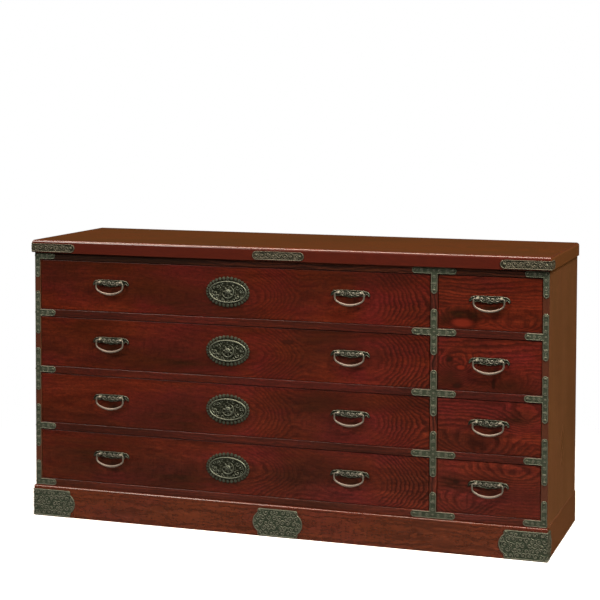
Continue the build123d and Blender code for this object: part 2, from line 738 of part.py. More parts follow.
def plinth_corner_plate(side):
    """Plate bent round a front corner of the plinth."""
    corner_x = side * (PLINTH_HALF_WIDTH + PLATE_THICKNESS)
    corner_y = PLINTH_FRONT_Y - PLATE_THICKNESS
    z = PLATE_LIFT + PLATE_HEIGHT / 2
    front = Plane(origin=(corner_x, PLINTH_FRONT_Y, z), x_dir=(-side, 0, 0), z_dir=(0, -1, 0))
    end_x = side * PLINTH_HALF_WIDTH
    end = Plane(origin=(end_x, corner_y, z), x_dir=(0, 1, 0), z_dir=(side, 0, 0))
    with BuildPart() as plate:
        with BuildSketch(front):
            plate_leg(PLATE_FRONT_REACH)
        extrude(amount=PLATE_THICKNESS)
        with BuildSketch(end):
            plate_leg(PLATE_SIDE_REACH)
        extrude(amount=PLATE_THICKNESS)
    return plate.part


def plinth_centre_plate():
    half = CENTRE_PLATE_WIDTH / 2 - PLATE_BULGE
    with BuildPart() as plate:
        with BuildSketch(front_plane(0, PLINTH_FRONT_Y, PLATE_LIFT + PLATE_HEIGHT / 2)):
            RectangleRounded(2 * half, PLATE_HEIGHT, PLATE_CORNER_RADIUS)
            for side in BOTH_SIDES:
                plate_bulge(side * half, side)
            for side in BOTH_SIDES:
                for z in plate_nail_heights():
                    nail_hole(side * (half - PLATE_CORNER_RADIUS), z)
        extrude(amount=PLATE_THICKNESS)
    return plate.part


def plate_nail_planes():
    """Where the nails of all three plinth plates stand, on the faces of the plates."""
    middle = PLATE_LIFT + PLATE_HEIGHT / 2
    face_y = PLINTH_FRONT_Y - PLATE_THICKNESS
    corner_x = PLINTH_HALF_WIDTH + PLATE_THICKNESS
    inset = PLATE_BULGE + PLATE_CORNER_RADIUS
    planes = []
    for side in BOTH_SIDES:
        for z in plate_nail_heights():
            planes.append(front_plane(side * (CENTRE_PLATE_WIDTH / 2 - inset), face_y, middle + z))
            planes.append(front_plane(side * (corner_x - PLATE_FRONT_REACH + inset), face_y, middle + z))
            end_y = face_y + PLATE_SIDE_REACH - inset
            planes.append(side_plane(side, side * corner_x, end_y, middle + z))
        near = PLATE_THICKNESS + PLATE_BULGE
        planes.append(front_plane(side * (corner_x - near), face_y, middle))
        planes.append(side_plane(side, side * corner_x, face_y + near, middle))
    return planes


def medallion(tier):
    """Oval plate with a scalloped edge, a raised oval ring and a flower boss."""
    ring_x = MEDALLION_RING_WIDTH / 2
    ring_z = MEDALLION_RING_HEIGHT / 2
    edge_x = MEDALLION_WIDTH / 2 - SCALLOP_RADIUS
    edge_z = MEDALLION_HEIGHT / 2 - SCALLOP_RADIUS
    turns = [2 * math.pi * step / SCALLOPS for step in range(SCALLOPS)]
    face = front_plane(LONG_CENTRE_X, DRAWER_FACE_Y, drawer_centre(tier))
    relief = face.offset(MEDALLION_THICKNESS)
    with BuildPart() as plate:
        with BuildSketch(face):
            Ellipse(edge_x, edge_z)
            with Locations(*[(edge_x * math.cos(t), edge_z * math.sin(t)) for t in turns]):
                Circle(SCALLOP_RADIUS)
            for side in BOTH_SIDES:
                nail_hole(side * MEDALLION_NAIL_SPACING / 2, 0)
        extrude(amount=MEDALLION_THICKNESS)
        with BuildSketch(relief):
            Ellipse(ring_x, ring_z)
            Ellipse(ring_x - MEDALLION_RING_BAR, ring_z - MEDALLION_RING_BAR, mode=Mode.SUBTRACT)
            Circle(BOSS_RING_RADIUS)
            Circle(BOSS_RING_RADIUS - BOSS_RING_BAR, mode=Mode.SUBTRACT)
        extrude(amount=MEDALLION_RING_PROUD)
        with BuildSketch(relief):
            Circle(BOSS_RADIUS)
        extrude(amount=BOSS_PROUD, taper=25)
    return plate.part


def medallion_nails(tier):
    y = DRAWER_FACE_Y - MEDALLION_THICKNESS
    z = drawer_centre(tier)
    half = MEDALLION_NAIL_SPACING / 2
    return nails_at([front_plane(LONG_CENTRE_X + side * half, y, z) for side in BOTH_SIDES])


# ---------------------------------------------------------------- nodes
os.makedirs("parts", exist_ok=True)

save("top_board", top_board())
save("left_side_panel", side_panel(-1))
save("right_side_panel", side_panel(1))
save("centre_divider", centre_divider())
save("bottom_board", bottom_board())
save("back_panel", back_panel())
save("top_rail", rail((-INNER_X, INNER_X), TIERS))
save("bottom_rail", bottom_rail())

long_span = (-INNER_X, DIVIDER_LEFT_X)
short_span = (DIVIDER_RIGHT_X, INNER_X)
inner_levels = range(1, TIERS)
save("drawer_rails", *[rail(x_span, level) for x_span in (long_span, short_span) for level in inner_levels])

housed_long = (-INNER_X - HOUSING_DEPTH, DIVIDER_LEFT_X + HOUSING_DEPTH)
housed_short = (DIVIDER_RIGHT_X - HOUSING_DEPTH, INNER_X + HOUSING_DEPTH)
housed = (housed_long, housed_short)
save("shelf_boards", *[shelf_board(x_span, level) for x_span in housed for level in inner_levels])

save("plinth_front_board", plinth_front_board())
save("plinth_frame_boards", plinth_side_board(-1), plinth_side_board(1), plinth_back_board())
save("plinth_bearers", plinth_bearer(LONG_CENTRE_X), plinth_bearer(DIVIDER_X))

save("top_corner_straps", top_corner_strap(-1), top_corner_strap(1))
save("top_centre_strap", top_centre_strap())
save("plinth_corner_plates", plinth_corner_plate(-1), plinth_corner_plate(1))
save("plinth_centre_plate", plinth_centre_plate())

brackets = bracket_table()
save("side_frame_brackets", *[bracket(*row) for row in brackets if row[0] != DIVIDER_X])
save("divider_brackets", *[bracket(*row) for row in brackets if row[0] == DIVIDER_X])
bracket_nails = [plane for row in brackets for plane in bracket_nail_planes(*row)]
save("ironwork_nails", nails_at(bracket_nails + strap_nail_planes() + plate_nail_planes()))

for tier in range(1, TIERS + 1):
    name = f"long_drawer_{tier}"
    place = (LONG_CENTRE_X, LONG_OPENING_WIDTH, tier)
    save(f"{name}_front", drawer_front(*place, LONG_HANDLES_X))
    save(
        f"{name}_box",
        box_side(*place, -1),
        box_side(*place, 1),
        box_back(*place),
        box_bottom(*place),
    )
    save(f"{name}_handle_plates", *handle_fittings(LONG_HANDLES_X, tier))
    save(f"{name}_medallion", medallion(tier), medallion_nails(tier))
    save(f"{name}_left_bail", bail(LONG_HANDLES_X[0], tier))
    save(f"{name}_right_bail", bail(LONG_HANDLES_X[1], tier))

for tier in range(1, TIERS + 1):
    name = f"short_drawer_{tier}"
    place = (SHORT_CENTRE_X, SHORT_OPENING_WIDTH, tier)
    save(f"{name}_front", drawer_front(*place, [SHORT_CENTRE_X]))
    save(
        f"{name}_box",
        box_side(*place, -1),
        box_side(*place, 1),
        box_back(*place),
        box_bottom(*place),
    )
    save(f"{name}_handle_plate", *handle_fittings([SHORT_CENTRE_X], tier))
    save(f"{name}_bail", bail(SHORT_CENTRE_X, tier))
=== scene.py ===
"""Looks of a low clothing chest in red zelkova lacquer, with chased iron fittings.

Everything is in the frame of the construction model: X to the right, Y to the back, Z up, metres in
Blender and millimetres in the sections that work out ironwork.
"""

import math

import bpy
import numpy as np
from mathutils import Matrix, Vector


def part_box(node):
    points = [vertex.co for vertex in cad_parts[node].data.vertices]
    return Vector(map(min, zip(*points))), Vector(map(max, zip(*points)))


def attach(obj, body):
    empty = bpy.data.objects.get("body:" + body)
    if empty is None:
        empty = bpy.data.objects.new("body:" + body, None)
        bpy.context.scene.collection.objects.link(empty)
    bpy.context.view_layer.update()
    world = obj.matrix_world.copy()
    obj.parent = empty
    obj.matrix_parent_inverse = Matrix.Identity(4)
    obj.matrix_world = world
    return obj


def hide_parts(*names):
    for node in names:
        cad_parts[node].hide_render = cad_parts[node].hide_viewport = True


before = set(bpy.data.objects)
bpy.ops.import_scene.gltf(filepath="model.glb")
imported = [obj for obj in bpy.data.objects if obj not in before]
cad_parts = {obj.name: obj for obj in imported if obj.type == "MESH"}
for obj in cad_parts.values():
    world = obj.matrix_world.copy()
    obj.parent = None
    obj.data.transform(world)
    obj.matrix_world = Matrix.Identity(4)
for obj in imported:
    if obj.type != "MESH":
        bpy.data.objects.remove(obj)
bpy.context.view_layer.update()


# ---- Camera ----
# A long lens a little to the right of the chest and well above its top, turned left and tilted
# down by a few degrees. The shift keeps the upright edges nearly parallel.
CAMERA_PLACE = (1.4884, -4.4393, 1.2249)
CAMERA_TURN_LEFT = 18.669
CAMERA_TILT_DOWN = 3.055
CAMERA_ROLL = 0.136
FOCAL_LENGTH = 98.66
LENS_SHIFT = -0.2

lens = bpy.data.cameras.new("camera")
lens.sensor_width = 36.0
lens.lens = FOCAL_LENGTH
lens.shift_y = LENS_SHIFT
lens.clip_end = 60.0
camera = bpy.data.objects.new("camera", lens)
camera.matrix_world = (
    Matrix.Translation(CAMERA_PLACE)
    @ Matrix.Rotation(math.radians(CAMERA_TURN_LEFT), 4, "Z")
    @ Matrix.Rotation(math.radians(90.0 - CAMERA_TILT_DOWN), 4, "X")
    @ Matrix.Rotation(math.radians(CAMERA_ROLL), 4, "Z")
)
bpy.context.scene.collection.objects.link(camera)
bpy.context.scene.camera = camera
bpy.context.scene.view_settings.view_transform = "Standard"


# ---- Studio ----
# A pale paper floor that fades out round the chest, and a white surround that is dim and warm in what
# it gives off, so that the lacquer stays deep. Soft boxes light it from above, left and right.
WHITE = (1.0, 1.0, 1.0)
FLOOR_COLOUR = (0.60, 0.59, 0.57)
FLOOR_GLOW = 0.54
FLOOR_SOLID_RADIUS = 0.9
FLOOR_RADIUS = 1.7
BACK_WALL_COLOUR = (0.112, 0.044, 0.011)
FRONT_WALL_COLOUR = (0.030, 0.020, 0.012)
ZENITH_COLOUR = (0.20, 0.17, 0.15)
LEFT_STAND = (-2.3, -2.9, 3.1)
LEFT_AIM = (0.1, -0.2, 0.4)


def tree_of(owner):
    """Empty node tree of a new material or world."""
    owner.use_nodes = True
    owner.node_tree.nodes.clear()
    return owner.node_tree


def node_in(tree, kind, inputs=None, **settings):
    """Add a shader node; an input is either another node's socket, to link, or a plain value."""
    made = tree.nodes.new("ShaderNode" + kind)
    for name, value in settings.items():
        setattr(made, name, value)
    for name, value in (inputs or {}).items():
        if isinstance(value, bpy.types.NodeSocket):
            tree.links.new(value, made.inputs[name])
        else:
            opaque = made.inputs[name].type == "RGBA"
            made.inputs[name].default_value = (*value, 1.0) if opaque else value
    return made


def value_of(tree, kind, inputs=None, output=0, **settings):
    """Output of a new shader node."""
    return node_in(tree, kind, inputs, **settings).outputs[output]


def mesh_object(name, points, faces, material):
    """Object in the scene, made from an array of points and a list of faces."""
    mesh = bpy.data.meshes.new(name)
    mesh.from_pydata(points.tolist(), [], faces)
    mesh.materials.append(material)
    made = bpy.data.objects.new(name, mesh)
    bpy.context.scene.collection.objects.link(made)
    return made


def fading_paper():
    """White paper whose cover falls from 1 to 0 between the two radii, so that no edge shows."""
    material = bpy.data.materials.new("floor_paper")
    tree = tree_of(material)
    place = value_of(tree, "TexCoord", output="Object")
    radius = value_of(tree, "VectorMath", {0: place}, "Value", operation="LENGTH")
    fade = {"Value": radius, "From Min": FLOOR_RADIUS, "From Max": FLOOR_SOLID_RADIUS}
    cover = value_of(tree, "MapRange", fade, interpolation_type="SMOOTHSTEP")
    dull = {"Base Color": FLOOR_COLOUR, "Roughness": 0.9, "Specular IOR Level": 0.1}
    glow = {"Emission Color": WHITE, "Emission Strength": FLOOR_GLOW}
    paper = value_of(tree, "BsdfPrincipled", {**dull, **glow})
    shown = value_of(tree, "MixShader", {0: cover, 1: value_of(tree, "BsdfTransparent"), 2: paper})
    node_in(tree, "OutputMaterial", {"Surface": shown})
    return material


def floor_disc(rings=24, around=96):
    """Flat disc on the ground: rings of points at even steps from the middle out to FLOOR_RADIUS."""
    radius = np.linspace(0.02, FLOOR_RADIUS, rings)[:, None]
    angle = np.linspace(0, 2 * np.pi, around, endpoint=False)[None, :]
    points = np.stack([radius * np.cos(angle), radius * np.sin(angle), 0 * radius * angle], -1)
    index = np.arange(rings * around).reshape(rings, around)
    after = np.roll(index, -1, axis=1)
    faces = np.stack([index[:-1], index[1:], after[1:], after[:-1]], -1).reshape(-1, 4).tolist()
    faces.append(index[0].tolist())
    return mesh_object("studio_floor", points.reshape(-1, 3), faces, fading_paper())


def soft_box(name, place, aim, width, height, power, colour):
    """Lamp of a given size in metres and power in watts, turned towards the aim."""
    light = bpy.data.lights.new(name, "AREA")
    light.shape = "RECTANGLE"
    light.size = width
    light.size_y = height
    light.energy = power
    light.color = colour
    lamp = bpy.data.objects.new(name, light)
    direction = np.array(aim, float) - np.array(place, float)
    yaw = math.atan2(-direction[0], direction[1])
    tilt = math.acos(-direction[2] / np.linalg.norm(direction))
    turn = Matrix.Rotation(yaw, 4, "Z") @ Matrix.Rotation(tilt, 4, "X")
    lamp.matrix_world = Matrix.Translation(place) @ turn
    bpy.context.scene.collection.objects.link(lamp)
    return lamp


def studio_surround():
    """White where the camera looks past the chest. Elsewhere dark in front, tan behind, pale above."""
    world = bpy.data.worlds.new("studio_surround")
    tree = tree_of(world)
    way = node_in(tree, "SeparateXYZ", {0: value_of(tree, "TexCoord", output="Generated")}).outputs
    back = value_of(tree, "MapRange", {"Value": way["Y"], "From Min": -0.4, "From Max": 0.6})
    up = value_of(tree, "MapRange", {"Value": way["Z"], "From Min": 0.15, "From Max": 0.9})
    walls = value_of(tree, "Mix", {0: back, 6: FRONT_WALL_COLOUR, 7: BACK_WALL_COLOUR}, 2, data_type="RGBA")
    tint = value_of(tree, "Mix", {0: up, 6: walls, 7: ZENITH_COLOUR}, 2, data_type="RGBA")
    lit = value_of(tree, "Background", {"Color": tint})
    seen = value_of(tree, "Background", {"Color": WHITE})
    straight = value_of(tree, "LightPath", output="Is Camera Ray")
    both = value_of(tree, "MixShader", {0: straight, 1: lit, 2: seen})
    node_in(tree, "OutputWorld", {"Surface": both})
    return world


floor = floor_disc()
floor.visible_glossy = False
bpy.context.scene.world = studio_surround()
soft_box("key_light", LEFT_STAND, LEFT_AIM, 1.4, 1.4, 85.0, (1.0, 0.93, 0.84))
key_fill = soft_box("key_fill", LEFT_STAND, LEFT_AIM, 1.4, 1.4, 62.0, (1.0, 0.98, 0.93))
key_fill.visible_glossy = False
soft_box("overhead_light", (-0.1, -0.5, 2.9), (-0.1, -0.2, 0.0), 3.4, 0.36, 126.0, (1.0, 0.77, 0.64))
soft_box("side_light", (2.3, -1.5, 3.4), (0.6, 0.0, 0.4), 1.0, 0.8, 272.0, (1.0, 0.92, 0.78))


# ---- Top board ----
# A thick zelkova-faced board, its upper edges rounded, glued and screwed down on the case. The wood
# is stained red-brown and brushed with clear lacquer until it shines.
def board_axes(tree, along, across):
    """Place on the piece, as separate axes and as a vector with X along the grain and Y across it."""
    rest = ({"X", "Y", "Z"} - {along, across}).pop()
    here = node_in(tree, "SeparateXYZ", {0: value_of(tree, "TexCoord", output="Object")}).outputs
    return here, value_of(tree, "CombineXYZ", {0: here[along], 1: here[across], 2: here[rest]})


def finished(material, surface):
    """The material, with a shader of this surface on its output."""
    shader = value_of(material.node_tree, "BsdfPrincipled", surface)
    node_in(material.node_tree, "OutputMaterial", {"Surface": shader})
    return material


def zelkova(
    name,
    along="X",
    across="Z",
    heart=0.0,
    depth=0.05,
    shift=(0.0, 0.0, 0.0),
    figures=(),
    swells=(),
    knots=(),
    clouds=(),
    light=(0.092, 0.0118, 0.0036),
    middle=(0.050, 0.0048, 0.0014),
    dark=(0.009, 0.0013, 0.0004),
    shade=(0.018, 0.0050, 0.0011),
    wine=(0.072, 0.0060, 0.0056),
    ring=0.0085,
    wander=0.06,
    ring_depth=1.0,
    shown=(0.0, 1.0, 1.0, 1.0, ()),
    edges=(),
    roughness=0.38,
    coat=0.05,
    gloss=0.20,
):
    """Lacquered zelkova: growth rings round the heart of the log, cut by the board's face.

    The heart runs along the grain at `heart` across the board and `depth` behind it, so the ring
    field is sqrt((across - heart)^2 + depth^2). A slow noise wanders by `wander` metres. Each figure
    (along, across, half length, half width, height) adds a cone, which draws nested loops, and each
    swell (start, end, height) adds a slope along the grain, which draws nested arches with their
    tops towards the end. One ring goes by for each `ring` metres: it starts with a dark row of pores
    and pales until the next. `shown` gives how strong the rings are along the grain: the start and
    end in metres, the strength at each, and the stops between as (metres, strength). A cloud (along,
    across, half length, half width, amount) is a dark patch: most are the wood's own tone, those
    beside the irons are painted shadow. A knot (along, across, half length, half width, heart colour)
    has a dark rim. Each of the `edges` (axis, start, end, colour) paints another colour from where
    it starts: painted light, the colour a face turned another way shows under the studio light.
    """
    material = bpy.data.materials.new(name)
    tree = tree_of(material)

    def math_node(operation, first, second=0.0, third=0.0):
        return value_of(tree, "Math", {0: first, 1: second, 2: third}, operation=operation)

    def noise(place, scale, detail=2.0, rough=0.5):
        settings = {"Vector": place, "Scale": scale, "Detail": detail, "Roughness": rough}
        return value_of(tree, "TexNoise", settings)

    def stretched(place, factors, offset=(0.0, 0.0, 0.0)):
        return value_of(tree, "Mapping", {"Vector": place, "Location": offset, "Scale": factors})

    def ranged(value, low, high, to_low=0.0, to_high=1.0):
        limits = {"From Min": low, "From Max": high, "To Min": to_low, "To Max": to_high}
        return value_of(tree, "MapRange", {"Value": value, **limits})

    def mixed(factor, first, second, **settings):
        return value_of(tree, "Mix", {0: factor, 6: first, 7: second}, 2, data_type="RGBA", **settings)

    def ramp(value, at_start, at_end, between):
        """Grey at both ends, and the stops between them as (position, grey)."""
        made = node_in(tree, "ValToRGB", {0: value})
        stops = made.color_ramp.elements
        stops[0].color = (at_start, at_start, at_start, 1.0)
        stops[-1].color = (at_end, at_end, at_end, 1.0)
        for position, grey in between:
            stops.new(position).color = (grey, grey, grey, 1.0)
        return made.outputs[0]

    here, board = board_axes(tree, along, across)
    place = stretched(board, (1.0, 1.0, 1.0), shift)

    def cone_at(centre, side, half_length, half_width):
        factors = (1.0 / half_length, 1.0 / half_width, 0.0)
        offset = (-centre / half_length, -side / half_width, 0.0)
        where = {"Vector": stretched(board, factors, offset)}
        return value_of(tree, "TexGradient", where, 1, gradient_type="SPHERICAL")

    aside = math_node("ADD", here[across], -heart)
    field = math_node("SQRT", math_node("MULTIPLY_ADD", aside, aside, depth * depth))
    slow = noise(stretched(place, (1.0, 3.2, 3.2)), 2.3, 1.5, 0.45)
    field = math_node("MULTIPLY_ADD", slow, wander, field)
    for *where, height in figures:
        field = math_node("MULTIPLY_ADD", cone_at(*where), height, field)
    for start, end, height in swells:
        slope = {"Value": here[along], "From Min": start, "From Max": end}
        rise = value_of(tree, "MapRange", slope, interpolation_type="SMOOTHSTEP")
        field = math_node("MULTIPLY_ADD", rise, height, field)
    ripple = noise(stretched(place, (0.4, 1.0, 1.0)), 46.0, 2.0, 0.6)
    rings = math_node("MULTIPLY_ADD", field, 1.0 / ring, math_node("MULTIPLY", ripple, 1.6))

    line = ramp(math_node("FRACT", rings), 1.0, 1.0, ((0.22, 0.90), (0.46, 0.25), (0.78, 0.0), (0.92, 0.45)))
    patch = noise(stretched(place, (1.0, 3.0, 3.0), (3.1, 0.7, 0.2)), 3.4, 2.0, 0.5)
    first, last, at_first, at_last, between = shown
    between = [((metres - first) / (last - first), strength) for metres, strength in between]
    plain = ramp(ranged(here[along], first, last), at_first, at_last, between)
    strength = math_node("MULTIPLY", ranged(patch, 0.34, 0.60, 0.60, 1.0), 0.90 * ring_depth)
    line_amount = math_node("MULTIPLY", line, math_node("MULTIPLY", strength, plain))

    grain = value_of(tree, "SeparateXYZ", {0: place})
    dash = {0: math_node("MULTIPLY", grain, 150.0), 1: math_node("MULTIPLY", rings, 4.5), 2: 0.0}
    pores = ranged(noise(value_of(tree, "CombineXYZ", dash), 1.0, 1.0, 0.5), 0.52, 0.68)
    streak = noise(stretched(place, (1.0, 11.0, 11.0)), 5.5, 3.0, 0.6)
    tone = noise(stretched(place, (1.0, 2.8, 2.8), (0.0, 5.0, 0.0)), 2.6, 3.0, 0.55)

    colour = mixed(ranged(streak, 0.32, 0.66), middle, light)
    stain = noise(stretched(place, (1.0, 1.7, 1.7), (7.0, 0.0, 3.0)), 4.2, 3.0, 0.6)
    mottle = noise(stretched(place, (0.35, 1.0, 1.0)), 210.0, 2.0, 0.65)
    colour = mixed(ranged(stain, 0.44, 0.62, 0.0, 0.8), colour, wine)
    colour = mixed(ranged(tone, 0.42, 0.68, 0.0, 0.65), colour, shade)
    # Dark patches: the wood's own tone, and painted shadow beside the irons.
    for *where, amount in clouds:
        cloud_depth = math_node("MULTIPLY", cone_at(*where), 2.2 * amount)
        cloud_depth = math_node("MULTIPLY", cloud_depth, ranged(streak, 0.2, 0.6))
        colour = mixed(ranged(cloud_depth, 0.0, 1.0), colour, shade)
    colour = mixed(1.0, colour, ranged(mottle, 0.28, 0.72, 0.66, 1.34), blend_type="MULTIPLY")
    colour = mixed(line_amount, colour, dark)
    colour = mixed(math_node("MULTIPLY", pores, 0.35), colour, dark)
    for *where, heart_colour in knots:
        cone = math_node("MULTIPLY_ADD", ripple, 0.30, math_node("SUBTRACT", cone_at(*where), 0.15))
        colour = mixed(ranged(cone, 0.00, 0.40, 0.0, 0.70), colour, dark)
        colour = mixed(ranged(cone, 0.30, 0.66, 0.0, 0.70), colour, heart_colour)
    # Painted light: faces of one board that look another way get the colour they show under the studio light.
    for axis, start, end, face_colour in edges:
        colour = mixed(ranged(here[axis], start, end, 0.0, 0.8), colour, face_colour)

    relief = math_node("MULTIPLY_ADD", line_amount, -0.6, math_node("MULTIPLY", pores, -0.5))
    bump = value_of(tree, "Bump", {"Height": relief, "Strength": 0.10, "Distance": 0.0004})
    dull = math_node("MULTIPLY_ADD", patch, 0.12, roughness - 0.06)
    wood = {"Base Color": colour, "Roughness": dull, "Normal": bump, "Specular IOR Level": gloss}
    lacquer = {"Coat Weight": coat, "Coat Roughness": 0.12, "Coat IOR": 1.40}
    return finished(material, {**wood, **lacquer})


def dress(node, material):
    """Give a construction node its finish."""
    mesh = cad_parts[node].data
    mesh.materials.clear()
    mesh.materials.append(material)


CASE_TONES = {
    "light": (0.070, 0.0102, 0.0014),
    "middle": (0.050, 0.0074, 0.0010),
    "dark": (0.015, 0.0034, 0.0006),
    "shade": (0.018, 0.0042, 0.0008),
    "wine": (0.054, 0.0062, 0.0024),
}
# Painted light: the board's front face takes the red of the drawer fronts and its two ends the golden tone of
# the side panels, the colours these faces show under the studio light.
FRONT_FACE_AS_LIT = (0.050, 0.0072, 0.0043)
END_FACES_AS_LIT = (0.096, 0.0340, 0.0130)
SHINING = {"roughness": 0.30, "coat": 1.0, "gloss": 0.30}
board_low, board_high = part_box("top_board")
top_edges = (
    ("Z", board_high.z - 0.0005, board_high.z - 0.005, FRONT_FACE_AS_LIT),
    ("X", board_high.x - 0.0030, board_high.x - 0.0005, END_FACES_AS_LIT),
    ("X", board_low.x + 0.0030, board_low.x + 0.0005, END_FACES_AS_LIT),
)
figure = {"depth": 0.30, "shift": (0.3, 0.0, 0.2), "ring": 0.0066, "ring_depth": 0.75, "wander": 0.10}
dress("top_board", zelkova("lacquer_top", "X", "Y", edges=top_edges, **figure, **CASE_TONES, **SHINING))


# ---- Side panels ----
# Upright ends of the case, 18 mm thick, grooved inside for the shelves. Plain straight grain under clear
# lacquer, paler and more olive than the top; the narrow front edge is painted in the red of the fronts, as a
# front-facing face looks under the studio light.
SIDE_TONES = {
    "light": (0.114, 0.0480, 0.0205),
    "middle": (0.091, 0.0380, 0.0160),
    "dark": (0.055, 0.0236, 0.0105),
    "shade": (0.072, 0.0316, 0.0137),
    "wine": (0.099, 0.0380, 0.0182),
}
SIDE_FRONT_AS_LIT = (0.040, 0.0100, 0.0062)
POLISHED = {"roughness": 0.30, "coat": 0.35, "gloss": 0.30}
for number, node in enumerate(("left_side_panel", "right_side_panel")):
    face_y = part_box(node)[0].y
    front_edge = (("Y", face_y + 0.0010, face_y + 0.0002, SIDE_FRONT_AS_LIT),)
    figure = {"depth": 0.20, "shift": (0.4 + number, 0.8, 0.0), "ring": 0.012, "ring_depth": 0.30}
    style = {**figure, **SIDE_TONES, **POLISHED}
    dress(node, zelkova(f"lacquer_{node}", "Z", "Y", edges=front_edge, wander=0.05, **style))


# ---- Frame rails, divider and plinth ----
# The front frame of solid bars, tenoned into the sides, and the plinth boards below, with a rounded
# upper edge. All are red lacquer like the drawers, with quieter grain, but the plinth's ends are tan.
RAIL_TONES = {
    "light": (0.064, 0.0074, 0.0020),
    "middle": (0.038, 0.0041, 0.0011),
    "dark": (0.009, 0.0014, 0.0005),
    "shade": (0.017, 0.0033, 0.0008),
    "wine": (0.054, 0.0047, 0.0030),
}
# Painted light: the top rail is lighter than the other rails, lifting the shade that the top board's overhang
# casts on it.
TOP_RAIL_LIFTED_TONES = {
    "light": (0.078, 0.0150, 0.0044),
    "middle": (0.054, 0.0110, 0.0032),
    "wine": (0.070, 0.0115, 0.0060),
}
BASE_TONES = {
    "light": (0.082, 0.0120, 0.0042),
    "middle": (0.052, 0.0078, 0.0026),
    "wine": (0.070, 0.0088, 0.0056),
}
PLINTH_TONES = {
    "light": (0.078, 0.0160, 0.0048),
    "middle": (0.057, 0.0118, 0.0036),
    "dark": (0.026, 0.0056, 0.0022),
    "shade": (0.038, 0.0086, 0.0030),
    "wine": (0.069, 0.0118, 0.0062),
}
END_TONES = {
    "light": (0.096, 0.0360, 0.0160),
    "middle": (0.078, 0.0290, 0.0130),
    "dark": (0.048, 0.0180, 0.0080),
    "shade": (0.062, 0.0240, 0.0110),
    "wine": (0.084, 0.0290, 0.0140),
}
SATIN = {"roughness": 0.50, "coat": 0.5, "gloss": 0.22}
PLINTH_SHINE = {"roughness": 0.26, "coat": 1.0, "gloss": 0.40}
PLINTH_FIGURE = {"heart": 0.03, "wander": 0.05, "ring_depth": 0.65}
END_FIGURE = {"wander": 0.05, "ring_depth": 0.30}
rail_low, rail_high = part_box("top_rail")
# The top rail is darker again towards its left end.
top_rail_dark_left = ((-0.60, (rail_low.z + rail_high.z) / 2, 0.62, 0.10, 1.0),)
QUIET = {"ring_depth": 0.6}
TOP_RAIL_FIGURE = {"heart": 0.9, "clouds": top_rail_dark_left}
for node, name, along, across, tones, shine, shift, figure in (
    ("drawer_rails", "rails", "X", "Z", RAIL_TONES, SATIN, (0.9, 0.35, 0.0), {"heart": 0.45, **QUIET}),
    ("bottom_rail", "bottom_rail", "X", "Z", BASE_TONES, SATIN, (0.2, 0.9, 0.0), {"heart": 0.3, **QUIET}),
    ("top_rail", "top_rail", "X", "Z", TOP_RAIL_LIFTED_TONES, SATIN, (0.5, 0.1, 0.0), TOP_RAIL_FIGURE),
    ("centre_divider", "divider", "Z", "X", BASE_TONES, SATIN, (0.2, 0.6, 0.0), {"heart": 0.40}),
    ("plinth_front_board", "plinth", "X", "Z", PLINTH_TONES, PLINTH_SHINE, (1.7, 0.15, 0.4), PLINTH_FIGURE),
    ("plinth_frame_boards", "plinth_ends", "Y", "Z", END_TONES, POLISHED, (0.7, 0.9, 0.1), END_FIGURE),
):
    dress(node, zelkova(f"lacquer_{name}", along, across, shift=shift, **figure, **tones, **shine))


# ---- Unseen boards and drawer boxes ----
# Bottom, shelves, bearers, back panel and the drawer boxes are bare planed paulownia, which keeps
# clothes dry: pale, soft, with faint brown growth lines and a dull surface.
TIERS = range(1, 5)
PALE_PAULOWNIA = (0.60, 0.44, 0.27)
DEEP_PAULOWNIA = (0.42, 0.28, 0.15)


def paulownia(name, along, across, shift):
    """Bare paulownia: faint bands along the grain, and fine fibres, on a pale tan ground."""
    material = bpy.data.materials.new(name)
    tree = tree_of(material)

    def mapped(scale):
        return value_of(tree, "Mapping", {"Vector": board, "Location": shift, "Scale": scale})

    def times(first, second):
        return value_of(tree, "Math", {0: first, 1: second}, operation="MULTIPLY")

    _, board = board_axes(tree, along, across)
    place = mapped((0.25, 1.0, 1.0))
    bands = {"Vector": place, "Scale": 17.0, "Distortion": 7.0, "Detail": 2.0, "Detail Scale": 0.35}
    wave = value_of(tree, "TexWave", bands, "Fac", wave_type="BANDS", bands_direction="Y")
    fine = mapped((12.0, 420.0, 420.0))
    fibre = value_of(tree, "TexNoise", {"Vector": fine, "Scale": 1.0, "Detail": 3.0})
    slow = value_of(tree, "TexNoise", {"Vector": place, "Scale": 7.0, "Detail": 2.0})
    mixed = times(times(times(wave, slow), fibre), 1.7)
    colour = value_of(tree, "Mix", {0: mixed, 6: PALE_PAULOWNIA, 7: DEEP_PAULOWNIA}, 2, data_type="RGBA")
    bump = value_of(tree, "Bump", {"Height": fibre, "Strength": 0.2, "Distance": 0.0004})
    bare = {"Base Color": colour, "Roughness": 0.62, "Normal": bump, "Specular IOR Level": 0.25}
    return finished(material, bare)


flat_paulownia = paulownia("paulownia_flat", "X", "Y", (0.3, 0.1, 0.0))
box_paulownia = paulownia("paulownia_boxes", "Y", "Z", (0.9, 0.5, 0.0))
for node in ("bottom_board", "shelf_boards", "plinth_bearers"):
    dress(node, flat_paulownia)
dress("back_panel", paulownia("paulownia_back", "X", "Z", (0.1, 0.2, 0.0)))
for tier in TIERS:
    dress(f"long_drawer_{tier}_box", box_paulownia)
    dress(f"short_drawer_{tier}_box", box_paulownia)


